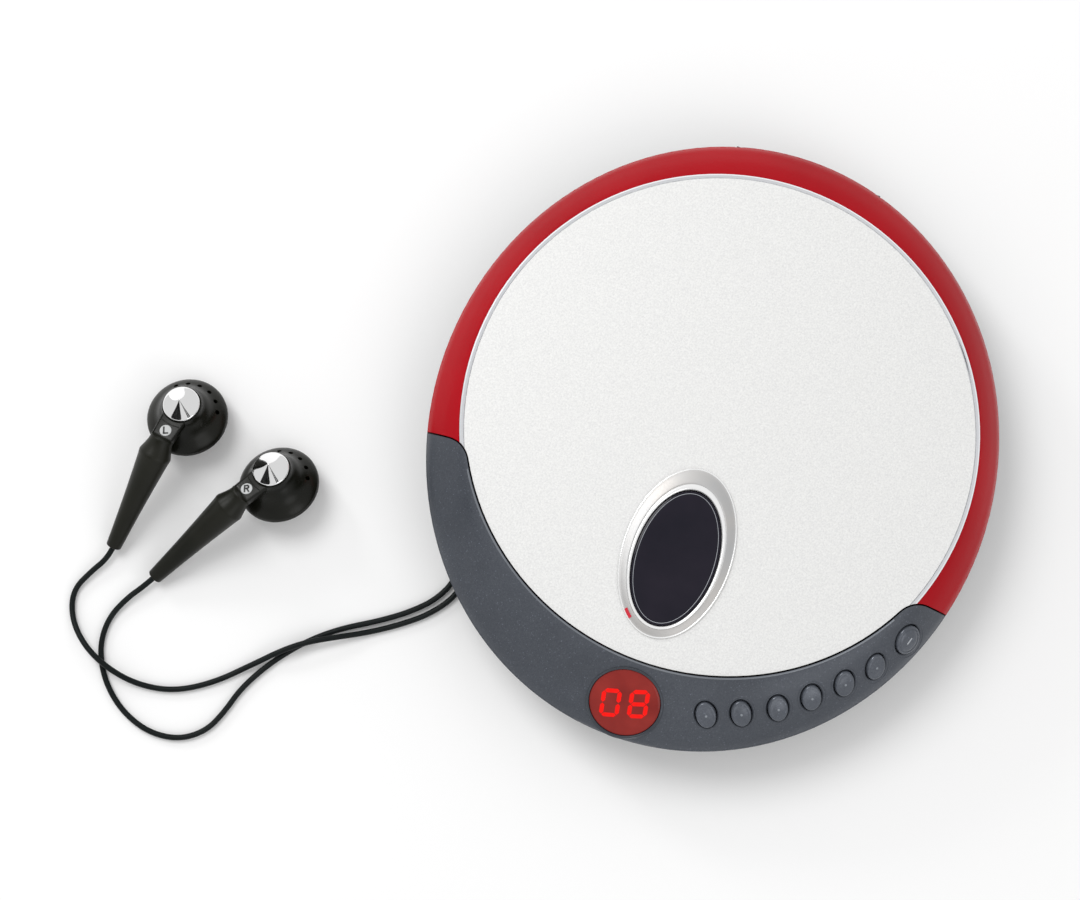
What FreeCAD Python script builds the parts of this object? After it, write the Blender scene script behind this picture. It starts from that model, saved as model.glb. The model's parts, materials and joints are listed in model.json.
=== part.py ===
import FreeCAD, Part
import os
from math import sin, cos, tan, atan2, radians, degrees, sqrt, pi, hypot, acos
import Sketcher

# Portable disc player with a plugged-in pair of earphones.
# Millimetres.  X to the right, +Y to the hinge side, +Z up, the feet stand on z = 0.
# The origin is under the middle of the oval outline of the case.

V = FreeCAD.Vector
doc = FreeCAD.newDocument("DiscPlayer")
sheet = doc.addObject("Spreadsheet::Sheet", "dims")

DIMS = [
    ("outline_x", 69.0), ("outline_y", 74.4), ("rim_z", 17.5), ("case_rim_z", 17.3),
    ("plate_y", 2.9), ("ring_inner", 62.5), ("ring_top_z", 25.9), ("lid_wall", 1.6),
    ("roof_low_z", 23.4), ("roof_top_z", 25.2), ("plate_radius", 61.4), ("plate_thick", 1.0),
    ("arc_x", 61.6), ("arc_y", 58.85), ("arc_end_y", 20.5), ("arc_corner", 6.8), ("part_gap", 0.4),
    ("panel_wall", 1.2), ("spindle_y", 5.5), ("drum_radius", 54.0), ("case_wall", 1.8),
    ("case_low_z", 0.9), ("floor_thick", 1.6), ("drum_top_z", 9.5), ("deck_thick", 1.4),
    ("deck_inset", 2.1), ("well_radius", 60.8), ("well_lip", 0.8), ("hinge_y", 71.2), ("hinge_z", 16.2),
    ("hinge_barrel", 1.35), ("hinge_pin", 0.65), ("pin_play", 0.05), ("hub_radius", 7.45), ("hub_height", 2.4),
    ("seat_z", 20.1), ("flange_radius", 13.0), ("shaft_radius", 1.0), ("ball_radius", 1.1),
    ("bezel_y", 28.5), ("bezel_a", 13.2), ("bezel_b", 21.05), ("bezel_height", 1.3), ("lens_y", 29.8), ("lens_a", 9.9),
    ("lens_b", 16.7), ("glass_thick", 1.2), ("disp_y", 66.0), ("disp_z", 22.5), ("disp_tilt", 26.0), ("disp_radius", 8.6),
    ("key_a", 2.45), ("key_b", 3.4), ("key_play", 0.25), ("key_travel", 0.8), ("open_a", 3.3), ("open_b", 3.75),
    ("foot_radius", 4.0), ("foot_height", 1.3), ("foot_circle", 45.0), ("board_z", 4.0), ("board_thick", 1.0), ("board_radius", 50.4),
    ("board_edge_y", 15.5), ("chassis_z", 12.3), ("chassis_thick", 0.8), ("motor_radius", 9.5), ("motor_height", 3.9),
    ("rod_radius", 1.0), ("rod_x", 12.0), ("rod_z", 14.6), ("rod_length", 53.4), ("screw_radius", 1.25), ("screw_x", 17.5), ("screw_z", 13.4),
    ("screw_length", 49.0), ("cell_radius", 7.25), ("cell_length", 50.5), ("cell_z", 9.85), ("cell_near_y", 25.0), ("cell_far_y", 39.8),
    ("door_width", 52.6), ("door_depth", 30.2), ("door_thick", 1.4), ("door_pin", 0.4), ("wheel_radius", 8.0), ("wheel_thick", 2.4),
    ("jack_z", 5.6), ("plug_radius", 1.75), ("grip_radius", 3.1), ("lead_dia", 1.5), ("strand_dia", 1.4), ("bud_radius", 10.0),
    ("sub_board_z", 15.8), ("sub_board_thick", 1.0), ("screw_head", 1.9), ("tie_wall", 0.5),
]
D = {}
for i, (k, v) in enumerate(DIMS):
    sheet.set("A%d" % (i + 1), k)
    sheet.set("B%d" % (i + 1), repr(v))
    sheet.setAlias("B%d" % (i + 1), k)
doc.recompute()
for k, v in DIMS:
    D[k] = float(getattr(sheet, k))

NODES = []


def S(e):
    """An expression on the sheet: every word that is a dimension becomes dims.word."""
    out, w = "", ""
    for c in e + " ":
        if c.isalnum() or c == "_":
            w += c
        else:
            out += ("dims." + w) if w in D else w
            out += c
            w = ""
    return out.strip()


def val(e):
    return float(eval_expr(e))


def eval_expr(e):
    """Sums and products of sheet words and numbers, without brackets."""
    e = str(e).replace(" ", "").replace("-", "+-")
    tot = 0.0
    for term in [t for t in e.split("+") if t != ""]:
        sgn = 1.0
        if term.startswith("-"):
            sgn, term = -1.0, term[1:]
        p = 1.0
        for f in term.split("*"):
            if "/" in f:
                a, b = f.split("/")
                p *= (D[a] if a in D else float(a)) / (D[b] if b in D else float(b))
            else:
                p *= D[f] if f in D else float(f)
        tot += sgn * p
    return tot


def node(obj, label):
    obj.Label = label
    NODES.append((label, obj))
    return obj


def place(obj, pos=(0, 0, 0), rot=None):
    obj.Placement = FreeCAD.Placement(V(*pos), rot or FreeCAD.Rotation())
    return obj


def toward(direction, x=None):
    """Rotation that takes +Z to the direction."""
    return FreeCAD.Rotation(V(0, 0, 1), V(*direction))


N = [0]


def nm(base):
    N[0] += 1
    return "%s_%d" % (base, N[0])


def box(l, w, t, pos=(0, 0, 0), rot=None):
    o = doc.addObject("Part::Box", nm("Block"))
    for p, e in (("Length", l), ("Width", w), ("Height", t)):
        o.setExpression(p, S(str(e))) if not isinstance(e, (int, float)) else setattr(o, p, e)
    return place(o, pos, rot)


def cyl(r, t, pos=(0, 0, 0), rot=None):
    o = doc.addObject("Part::Cylinder", nm("Rod"))
    for p, e in (("Radius", r), ("Height", t)):
        o.setExpression(p, S(str(e))) if not isinstance(e, (int, float)) else setattr(o, p, e)
    return place(o, pos, rot)


def cut(a, b):
    o = doc.addObject("Part::Cut", nm("Cut"))
    o.Base, o.Tool = a, b
    return o


def fuse(*a):
    if len(a) == 1:
        return a[0]
    o = doc.addObject("Part::MultiFuse", nm("Fuse"))
    o.Shapes = list(a)
    return o


def common(a, b):
    o = doc.addObject("Part::Common", nm("Common"))
    o.Base, o.Tool = a, b
    return o


def feat(shape, name):
    o = doc.addObject("Part::Feature", nm(name))
    o.Shape = shape
    return o


def body_sketch(body, plane):
    sk = body.newObject("Sketcher::SketchObject", nm("Sketch"))
    pl = [f for f in body.Origin.OriginFeatures if f.Role == plane][0]
    sk.AttachmentSupport = (pl, [""])
    sk.MapMode = "FlatFace"
    return sk


def poly(sk, pts):
    """Closed outline whose corners are held by sheet expressions from the sketch's own origin."""
    g0 = sk.GeometryCount
    n = len(pts)
    num = [(val(a), val(b)) for a, b in pts]
    for i in range(n):
        a, b = num[i], num[(i + 1) % n]
        sk.addGeometry(Part.LineSegment(V(a[0], a[1], 0), V(b[0], b[1], 0)), False)
    for i in range(n):
        sk.addConstraint(Sketcher.Constraint("Coincident", g0 + i, 2, g0 + (i + 1) % n, 1))
    for i in range(n):
        for kind, j in (("DistanceX", 0), ("DistanceY", 1)):
            c = sk.addConstraint(Sketcher.Constraint(kind, -1, 1, g0 + i, 1, num[i][j]))
            if any(ch.isalpha() for ch in pts[i][j]):
                sk.setExpression("Constraints[%d]" % c, S(pts[i][j]))


def ring(sk, cx, cy, r):
    g = sk.addGeometry(Part.Circle(V(val(cx), val(cy), 0), V(0, 0, 1), val(r)), False)
    for kind, e in (("DistanceX", cx), ("DistanceY", cy)):
        c = sk.addConstraint(Sketcher.Constraint(kind, -1, 1, g, 3, val(e)))
        if any(ch.isalpha() for ch in e):
            sk.setExpression("Constraints[%d]" % c, S(e))
    c = sk.addConstraint(Sketcher.Constraint("Radius", g, val(r)))
    if any(ch.isalpha() for ch in r):
        sk.setExpression("Constraints[%d]" % c, S(r))


def turned(profile, pos=(0, 0, 0), rot=None):
    """A piece made on a lathe: (radius, height) corners turned about its own +Z."""
    b = doc.addObject("PartDesign::Body", nm("Turned"))
    sk = body_sketch(b, "XZ_Plane")
    poly(sk, profile)
    rv = b.newObject("PartDesign::Revolution", nm("Revolution"))
    rv.Profile = sk
    rv.ReferenceAxis = (sk, ["V_Axis"])
    rv.Angle = 360.0
    b.Tip = rv
    return place(b, pos, rot)


def plated(outline, holes, thick, pos=(0, 0, 0), rot=None, circle=None, hole_polys=()):
    """A flat piece: an outline with round holes, thickened upwards."""
    b = doc.addObject("PartDesign::Body", nm("Plate"))
    sk = body_sketch(b, "XY_Plane")
    if circle:
        ring(sk, *circle)
    else:
        poly(sk, outline)
    for h in holes:
        ring(sk, *h)
    for h in hole_polys:
        poly(sk, h)
    p = b.newObject("PartDesign::Pad", nm("Pad"))
    p.Profile = sk
    p.setExpression("Length", S(thick))
    b.Tip = p
    return place(b, pos, rot)


# ------------------------------------------------------------------ case surfaces
SY = D["spindle_y"]
PY = D["plate_y"]


def reach(ax, ay, cy, th):
    """Distance from (0, cy) to the oval with half widths ax and ay, in direction th."""
    ux, uy = cos(th), sin(th)
    a = (ux / ax) ** 2 + (uy / ay) ** 2
    b = 2 * cy * uy / ay ** 2
    c = (cy / ay) ** 2 - 1
    return (-b + sqrt(b * b - 4 * a * c)) / (2 * a)


def section(cy, r0, inset, w, z, n=72):
    """Closed smooth curve between a circle about (0, cy) and the oval outline moved in by inset."""
    pts = []
    for i in range(n):
        th = 2 * pi * i / n
        ro = reach(D["outline_x"] - inset, D["outline_y"] - inset, cy, th)
        r = r0 + w * (ro - r0)
        pts.append(V(r * cos(th), cy + r * sin(th), z))
    c = Part.BSplineCurve()
    c.interpolate(Points=pts, PeriodicFlag=True)
    return Part.Wire([c.toShape()])


def lofted(secs):
    s = Part.makeLoft(secs, True, False)
    if s.ShapeType != "Solid":
        s = s.Solids[0]
    if s.Volume < 0:
        s.reverse()
    return s


def round_prism(cx, cy, a, b, z0, z1, turn=0.0):
    """Upright oval column."""
    m, n = max(a, b), min(a, b)
    e = Part.Ellipse(V(0, 0, 0), m, n)
    w = Part.Wire([e.toShape()])
    if b > a:
        w.rotate(V(0, 0, 0), V(0, 0, 1), 90)
    if turn:
        w.rotate(V(0, 0, 0), V(0, 0, 1), turn)
    f = Part.Face(w)
    f.translate(V(cx, cy, z0))
    return f.extrude(V(0, 0, z1 - z0))


def crescent(gap, z0, z1):
    """Column over the crescent-shaped control area at the front, grown by gap."""
    b = Part.makeBox(170, 100, z1 - z0, V(-85, -D["arc_end_y"] + gap - 100, z0))
    e = round_prism(0, PY, D["arc_x"] - gap, D["arc_y"] - gap, z0 - 1, z1 + 1)
    s = b.cut(e)
    s = s.Solids[0] if len(s.Solids) == 1 else max(s.Solids, key=lambda q: q.Volume)
    ed = [q for q in s.Edges if abs(q.tangentAt(q.FirstParameter).z) > 0.99 and 40 < abs(q.CenterOfMass.x) < 70
          and abs(q.CenterOfMass.y + D["arc_end_y"] - gap) < 0.5]
    return s.makeFillet(D["arc_corner"] + gap, ed)


TOP = [(1.0, 17.5), (0.92, 18.75), (0.75, 20.5), (0.5, 22.6), (0.25, 24.4), (0.0, 25.9), (-0.25, 26.75), (-0.6, 27.2)]
dome = lofted([section(PY, D["ring_inner"], 0.0, w, z) for w, z in TOP])
under = lofted([section(PY, D["ring_inner"] - 0.3, D["lid_wall"], w, z) for w, z in
                [(1.0, 15.0), (1.0, 16.8), (0.92, 17.4), (0.75, 19.0), (0.5, 21.0), (0.25, 22.7), (0.0, 24.1), (-0.25, 24.9), (-0.6, 25.3)]])

DR = D["drum_radius"]
WALL = D["case_wall"]
LOW = D["case_low_z"]
FLR = LOW + D["floor_thick"]
drum = Part.makeCylinder(DR, D["drum_top_z"] - LOW, V(0, SY, LOW))
drum = drum.makeChamfer(0.9, [e for e in drum.Edges if abs(e.BoundBox.ZMax - LOW) < 1e-6 and e.Closed])
BOWL = [(0.0, 9.25), (0.35, 9.9), (0.65, 10.9), (0.85, 12.6), (0.95, 14.6), (1.0, D["case_rim_z"])]
bowl = lofted([section(SY, DR - 0.4, 0.0, w, z) for w, z in BOWL])
outer = drum.fuse(bowl)
IN = [(0.0, 11.05), (0.35, 11.6), (0.65, 12.5), (0.85, 14.1), (0.93, 15.6), (0.95, 17.4)]
cav = Part.makeCylinder(DR - WALL, 11.3 - FLR, V(0, SY, FLR)).fuse(
    lofted([section(SY, DR - WALL - 0.4, WALL, w, z) for w, z in IN]))
case = outer.cut(cav)


def cylinder(r, a, b):
    """Round bar from point a to point b."""
    a, b = V(*a), V(*b)
    return Part.makeCylinder(r, (b - a).Length, a, b - a)


def cube(x0, y0, z0, x1, y1, z1):
    return Part.makeBox(x1 - x0, y1 - y0, z1 - z0, V(x0, y0, z0))


def polar(az, r, z):
    """Point at azimuth az from the front towards the right, r from the spindle."""
    return V(r * sin(radians(az)), SY - r * cos(radians(az)), z)


# ------------------------------------------------------------------ hinge
HY, HZ, HB, HP = D["hinge_y"], D["hinge_z"], D["hinge_barrel"], D["hinge_pin"]
case = case.cut(cylinder(4.0, (-20.8, HY, HZ), (20.8, HY, HZ)))
case = case.cut(cube(-20.8, HY, 14.4, 20.8, HY + 8, 18))
for sx in (-1, 1):
    x0, x1 = sorted((sx * 14.8, sx * 18.6))
    lug = cylinder(HB, (x0, HY, HZ), (x1, HY, HZ)).fuse(cube(x0, HY - 6.4, HZ - 4.1, x1, HY, HZ - 0.2))
    lug = lug.fuse(cube(x0, HY - 6.4, HZ - 4.1, x1, HY - 1.2, HZ + 1.0))
    case = case.fuse(lug.common(Part.makeCylinder(90, 14, V(0, 0, 11.2))))
    case = case.cut(cylinder(HP, (x0 - 0.01, HY, HZ), (x1 + 0.01, HY, HZ)))

# ------------------------------------------------------------------ bottom case details
JA, DA, WA = 125.0, 68.0, 95.0
jc, dc, wc = polar(JA, 47, D["jack_z"]), polar(DA, 47, D["jack_z"]), polar(WA, DR - D["wheel_radius"] + 1.5, 6.2)
case = case.cut(cylinder(2.2, polar(JA, 49, D["jack_z"]), polar(JA, 60, D["jack_z"])))
case = case.cut(cylinder(3.1, polar(DA, 49, D["jack_z"]), polar(DA, 60, D["jack_z"])))
case = case.cut(Part.makeCylinder(D["wheel_radius"] + 0.4, 3.2, V(wc.x, wc.y, 5.8)))
hx, y0, y1 = D["door_width"] / 2 + 0.3, 17.3, 48.3
case = case.cut(cube(-hx, y0, LOW - 1, hx, y1, FLR + 0.01))
for sx in (-1, 1):
    case = case.cut(cylinder(D["door_pin"] + 0.05, (sx * (hx - 0.1), 47.5, 1.62), (sx * (hx + 1.5), 47.5, 1.62)))
POSTS = [(-9.0, 12.6), (17.0, 12.6), (4.0, -42.0)]
for x, y in POSTS:
    case = case.fuse(Part.makeCylinder(2.2, 10.8 - FLR + 0.1, V(x, y, FLR - 0.1)))
BOSSES = [(-33.0, -26.0), (33.0, -26.0), (-40.0, 20.0), (36.5, 19.4)]
for x, y in BOSSES:
    case = case.fuse(Part.makeCylinder(3.0, 17.2 - FLR, V(x, y, FLR - 0.1)).cut(Part.makeCylinder(1.25, 9, V(x, y, 9))))
    case = case.cut(Part.makeCylinder(2.2, 1.3, V(x, y, LOW - 0.1)).fuse(Part.makeCylinder(1.3, 20, V(x, y, LOW))))
# shallow pockets that seat the rubber feet
FEET = [polar(a, D["foot_circle"], 0) for a in (38, -38, 127, -127)]
for f in FEET:
    case = case.cut(Part.makeCylinder(D["foot_radius"] + 0.02, D["foot_height"] - LOW + 0.1, V(f.x, f.y, LOW - 0.1)))
# vent slots under the drive
for k in range(-3, 4):
    case = case.cut(cube(-11, -18 + k * 3.2, LOW - 1, 11, -16.6 + k * 3.2, FLR + 1))
case = case.removeSplitter()
node(feat(case, "BottomCase"), "bottom_case")

# ------------------------------------------------------------------ deck with the disc well
deck_low = D["case_rim_z"]
deck_top = deck_low + D["deck_thick"]
deck = lofted([section(SY, 30.0, D["deck_inset"], 1.0, deck_low), section(SY, 30.0, D["deck_inset"] + 1.9, 1.0, deck_top)])
lip = Part.makeCylinder(D["well_radius"] + 1.3, D["well_lip"] + 0.01, V(0, SY, deck_top - 0.01)).cut(
    Part.makeCylinder(D["well_radius"], D["well_lip"] + 0.03, V(0, SY, deck_top - 0.02)))
lip = lip.cut(cube(-80, -80, 15, 80, -20.6, 25))
deck = deck.fuse(lip)
deck = deck.cut(crescent(0.12, 10, 30))
deck = deck.cut(Part.makeCylinder(14.3, 6, V(0, SY, 15)))
deck = deck.cut(cube(-9.5, -60, 15, 9.5, -7.6, 22))
deck = deck.cut(cube(-22, 67.4, 15, 22, 80, 22))
deck = deck.cut(cube(56.9, -18.9, 15, 62.4, -14.8, 22))
for a in (70, -70):
    q = polar(a, 63, 17.9)
    deck = deck.cut(Part.makeCylinder(9.0, 4, q))
# raised ribs on the deck between spindle and rim
for a in (95, -95, 135, -135, 180):
    p0, p1 = polar(a, 20, deck_top), polar(a, 58, deck_top)
    deck = deck.fuse(Part.makeBox(38, 1.2, 0.5, V(0, -0.6, -0.1)).transformed(FreeCAD.Placement(p0, FreeCAD.Rotation(V(1, 0, 0), (p1 - p0))).toMatrix()))
deck = deck.cut(crescent(0.12, 10, 30)).removeSplitter()
deck = max(deck.Solids, key=lambda q: q.Volume)
node(feat(deck, "Deck"), "disc_well")

# ------------------------------------------------------------------ lid
GAP = D["part_gap"]
lid = dome.cut(Part.makeCylinder(D["ring_inner"], 10, V(0, PY, D["roof_top_z"])))
inside = under.common(cube(-90, -90, 10, 90, 90, D["roof_low_z"]))
lid = lid.cut(inside).cut(crescent(GAP, 10, 40))
lid = lid.cut(round_prism(0, -D["bezel_y"], D["bezel_a"] - 1.6, D["bezel_b"] - 1.6, 20, 30))
lid = max(lid.Solids, key=lambda q: q.Volume)
for sx in (-1, 1):
    # room over the case's hinge lugs
    lid = lid.cut(cylinder(HB + 0.3, (sx * 14.65, HY, HZ), (sx * 18.95, HY, HZ)))
for sx in (-1, 1):
    x0, x1 = sorted((sx * 10.6, sx * 14.6))
    lug = cylinder(HB, (x0, HY, HZ), (x1, HY, HZ)).fuse(cube(x0, HY - 1.7, HZ, x1, HY + 1.2, HZ + 4.6))
    lug = lug.fuse(cube(x0, HY - 4.5, HZ + 2.9, x1, HY, HZ + 6.0))
    lug = lug.cut(cylinder(HP + D["pin_play"], (x0 - 1, HY, HZ), (x1 + 1, HY, HZ)))
    lid = lid.fuse(lug.common(dome.fuse(Part.makeCylinder(76, 8, V(0, 0, 9.5)))))
hook = cube(58.2, -17.7, 14.8, 60.4, -16.0, 24.6).fuse(cube(58.2, -17.7, 20.6, 65.5, -16.0, 24.6)).common(dome.fuse(cube(50, -30, 10, 62, 0, 22)))
lid = lid.fuse(hook)
lid = lid.removeSplitter()
node(feat(lid, "LidShell"), "lid_shell")

keep = Part.makeCylinder(120, 30, V(0, 0, 10)).cut(crescent(GAP, 5, 45))
plate = Part.makeCylinder(D["plate_radius"] - 0.05, D["plate_thick"], V(0, PY, D["roof_top_z"])).common(keep)
plate = plate.cut(round_prism(0, -D["bezel_y"], D["bezel_a"] - 1.6, D["bezel_b"] - 1.6, 20, 30))
node(feat(plate, "LidPlate"), "lid_plate")
tr = Part.makeCylinder(D["ring_inner"] - 0.05, 1.15, V(0, PY, D["roof_top_z"])).cut(Part.makeCylinder(D["plate_radius"], 3, V(0, PY, 25)))
tr = tr.makeChamfer(0.35, [e for e in tr.Edges if e.Closed and abs(e.BoundBox.ZMin - D["roof_top_z"] - 1.15) < 1e-6])
tr = tr.common(keep)
tr = max(tr.Solids, key=lambda q: q.Volume)
node(feat(tr, "TrimRing"), "lid_trim_ring")

# oval window: bezel frame and dark glass
zt = D["roof_top_z"] + D["plate_thick"]
b0 = round_prism(0, -D["bezel_y"], D["bezel_a"], D["bezel_b"], zt, zt + 0.5)
b1 = Part.makeLoft([Part.Wire([max(round_prism(0, -D["bezel_y"], D["bezel_a"], D["bezel_b"], zt + 0.5, zt + 2).Faces, key=lambda f: -f.CenterOfMass.z).Edges[0]]),
                    Part.Wire([max(round_prism(0, -D["lens_y"], D["lens_a"] + 1.1, D["lens_b"] + 1.1, zt + D["bezel_height"], zt + 3).Faces, key=lambda f: -f.CenterOfMass.z).Edges[0]])], True, False)
bez = b0.fuse(b1)
bez = bez.fuse(round_prism(0, -D["bezel_y"], D["bezel_a"] - 1.65, D["bezel_b"] - 1.65, D["roof_low_z"] + 0.2, zt + 0.1))
bez = bez.cut(round_prism(0, -D["lens_y"], D["lens_a"] - 0.8, D["lens_b"] - 0.8, 15, 35))
bez = bez.cut(round_prism(0, -D["lens_y"], D["lens_a"] + 0.1, D["lens_b"] + 0.1, zt - 0.2, 35)).removeSplitter()
node(feat(bez, "WindowBezel"), "window_bezel")
glass = round_prism(0, -D["lens_y"], D["lens_a"], D["lens_b"], zt - 0.2, zt - 0.2 + D["glass_thick"])
node(feat(glass, "WindowLens"), "window_lens")
pins = [cyl("hinge_pin", 7.9, (10.65, HY, HZ), toward((1, 0, 0))), cyl("hinge_pin", 7.9, (-18.55, HY, HZ), toward((1, 0, 0)))]
node(fuse(*pins), "hinge_pins")

# ------------------------------------------------------------------ front control panel
dome_in = lofted([section(PY, D["ring_inner"] - 0.3, 1.7, w, z) for w, z in
                  [(1.0, 15.0), (1.0, 16.8), (0.92, 17.2), (0.75, 18.9), (0.5, 20.9), (0.25, 22.6), (0.0, 24.0), (-0.25, 24.8), (-0.6, 25.2)]])
panel = dome.fuse(lofted([section(PY, D["ring_inner"], 0.0, 1.0, D["case_rim_z"]), section(PY, D["ring_inner"], 0.0, 1.0, 17.5)]))
panel = panel.common(crescent(0.0, 10, 40))
hollow = dome_in.common(crescent(-D["panel_wall"], 10, 40))
panel = panel.cut(hollow)
panel = max(panel.Solids, key=lambda q: q.Volume)

TOPW = sorted(TOP)


def dome_z(x, y):
    th = atan2(y - PY, x)
    w = (hypot(x, y - PY) - D["ring_inner"]) / (reach(D["outline_x"], D["outline_y"], PY, th) - D["ring_inner"])
    for (a, za), (b, zb) in zip(TOPW, TOPW[1:]):
        if a <= w <= b:
            return za + (zb - za) * (w - a) / (b - a)
    return TOPW[-1][1]


def on_dome(x, y):
    """Point on the dome under (x, y), and the outward normal there."""
    p = dome.common(Part.makeLine(V(x, y, 16), V(x, y, 30)))
    z = p.BoundBox.ZMax
    f = min(dome.Faces, key=lambda q: q.distToShape(Part.Vertex(V(x, y, z)))[0])
    u, v = f.Surface.parameter(V(x, y, z))
    n = f.normalAt(u, v)
    if n.z < 0:
        n = n * -1
    return V(x, y, z), n


KEYS = [("skip_back_button", 19.2, -62.4), ("play_button", 27.0, -59.3), ("skip_forward_button", 34.9, -55.2),
        ("stop_button", 41.6, -50.1), ("program_button", 48.0, -44.3), ("mode_button", 53.8, -38.0)]
KN = {}


def frame_at(p, n, turn):
    """Placement with +Z along n and the long side of an oval turned from the front towards the right."""
    d = V(sin(radians(turn)), -cos(radians(turn)), 0)
    yv = (d - n * d.dot(n)).normalize()
    xv = yv.cross(n)
    return FreeCAD.Placement(FreeCAD.Matrix(xv.x, yv.x, n.x, p.x, xv.y, yv.y, n.y, p.y, xv.z, yv.z, n.z, p.z, 0, 0, 0, 1))


def oval(a, b, z0, z1):
    return round_prism(0, 0, a, b, z0, z1)


for name, x, y in KEYS + [("open_button", 59.0, -29.3)]:
    p, n = on_dome(x, y)
    big = name == "open_button"
    a, b = (D["open_a"], D["open_b"]) if big else (D["key_a"], D["key_b"])
    KN[name] = (p, n)
    pl = frame_at(p, n, 30.0)
    hole = oval(a + D["key_play"], b + D["key_play"], -6, 3)
    dish = Part.makeLoft([min(oval(a + 0.15, b + 0.15, -0.5, 1).Faces, key=lambda f: f.CenterOfMass.z).OuterWire,
                          min(oval(a + 1.15, b + 1.15, 0.5, 1).Faces, key=lambda f: f.CenterOfMass.z).OuterWire], True, False)
    panel = panel.cut(hole.fuse(dish).transformed(pl.toMatrix()))
dp = V(0, -D["disp_y"], D["disp_z"])
dn = V(0, -sin(radians(D["disp_tilt"])), cos(radians(D["disp_tilt"])))
dpl = FreeCAD.Placement(dp, FreeCAD.Rotation(V(0, 0, 1), dn))
panel = panel.cut(Part.makeCylinder(D["disp_radius"] + 0.15, 9, V(0, 0, -6)).transformed(dpl.toMatrix()))
panel = panel.cut(Part.makeCone(D["disp_radius"] + 0.1, D["disp_radius"] + 1.7, 1.2, V(0, 0, 0.15)).transformed(dpl.toMatrix()))
panel = max(panel.Solids, key=lambda q: q.Volume)
node(feat(panel, "FrontPanel"), "front_panel")
lens = Part.makeCylinder(D["disp_radius"], 3.0, V(0, 0, -1.4)).common(Part.makeSphere(56.0, V(0, 0, -55.35)))
ld = feat(lens, "DisplayLens")
ld.Placement = dpl
node(ld, "display_lens")
dm = common(box(12.4, 9.8, 2.4, (-6.2, -4.9, -4.1)), cyl(8.0, 3.0, (0, 0, -4.3)))
node(dm, "display_module")
dm.Placement = dpl

# control board under the crescent and its key switches
SBZ = D["sub_board_z"]
sb = Part.makeCylinder(66.3, D["sub_board_thick"], V(0, SY, SBZ)).common(
    crescent(-D["panel_wall"] - 0.6, 10, 40)).common(cube(-56, -70, 10, 50.5, -30, 20))
sb = max(sb.Solids, key=lambda q: q.Volume)
node(feat(sb, "ControlBoard"), "control_board")
sw = []
for name, x, y in KEYS:
    p, n = KN[name]
    q = p - n * 3.6
    t = SBZ + D["sub_board_thick"]
    sw.append(box(3.6, 3.6, 1.4, (q.x - 1.8, q.y - 1.8, t)))
    sw.append(cyl(0.9, 0.5, (q.x, q.y, t + 1.4)))
node(fuse(*sw), "tact_switches")

for name, x, y in KEYS + [("open_button", 59.0, -29.3)]:
    p, n = KN[name]
    big = name == "open_button"
    a, b = (D["open_a"], D["open_b"]) if big else (D["key_a"], D["key_b"])
    cap = oval(a, b, -1.4, 0.75)
    crown = Part.makeSphere(14.0, V(0, 0, -13.25)) if not big else Part.makeSphere(24.0, V(0, 0, -23.3))
    cap = cap.common(crown)
    cap = cap.fuse(Part.makeCylinder(1.0, 1.9, V(0, 0, -3.2)))
    if big:
        cap = cap.fuse(Part.makeBox(0.5, 2.2, 0.35, V(-0.25, -1.1, 0.55)))
    o = feat(cap, "Key")
    o.Placement = frame_at(p, n, 30.0)
    node(o, name)
    print("key", name, [round(v, 5) for v in p], [round(v, 5) for v in n])
lt = fuse(box(2.4, 6.0, 1.6, (57.5, -24.2, 15.6)), box(1.0, 4.0, 0.4, (58.2, -23.5, 15.2)))
node(lt, "lid_latch")

# ------------------------------------------------------------------ drive
node(turned([("0", "14.2"), ("shaft_radius", "14.2"), ("shaft_radius", "17.2"), ("4.2", "17.2"), ("4.2", "18.4"), ("flange_radius - 1", "18.6"),
             ("flange_radius", "18.9"), ("flange_radius", "seat_z"), ("hub_radius", "seat_z"), ("hub_radius", "seat_z + hub_height - 0.5"),
             ("hub_radius - 0.7", "seat_z + hub_height"), ("2.2", "seat_z + hub_height"), ("1.6", "seat_z + hub_height - 0.6"),
             ("0", "seat_z + hub_height - 0.6")]), "turntable_blank")
blank = NODES.pop()[1]
doc.recompute()
pk = [doc.addObject("Part::Sphere", nm("Pocket")) for _ in range(3)]
balls = [doc.addObject("Part::Sphere", nm("Ball")) for _ in range(3)]
for i in range(3):
    a = radians(90 + 120 * i)
    for o in (pk[i], balls[i]):
        o.setExpression("Radius", S("ball_radius"))
        o.Placement = FreeCAD.Placement(V(6.3 * cos(a), 6.3 * sin(a), 21.35), FreeCAD.Rotation())
tt = cut(blank, fuse(*pk))
node(tt, "turntable")
tt.Placement = FreeCAD.Placement(V(0, SY, 0), FreeCAD.Rotation())
cb = fuse(*balls)
node(cb, "clamp_balls")
cb.Placement = FreeCAD.Placement(V(0, SY, 0), FreeCAD.Rotation())
node(turned([("shaft_radius + 0.04", "10.4"), ("4", "10.4"), ("4", "chassis_z + chassis_thick"), ("motor_radius", "chassis_z + chassis_thick"),
             ("motor_radius", "chassis_z + chassis_thick + motor_height - 0.6"), ("motor_radius - 0.8", "chassis_z + chassis_thick + motor_height"),
             ("shaft_radius + 0.04", "chassis_z + chassis_thick + motor_height")], (0, SY, 0)), "spindle_motor")

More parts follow.
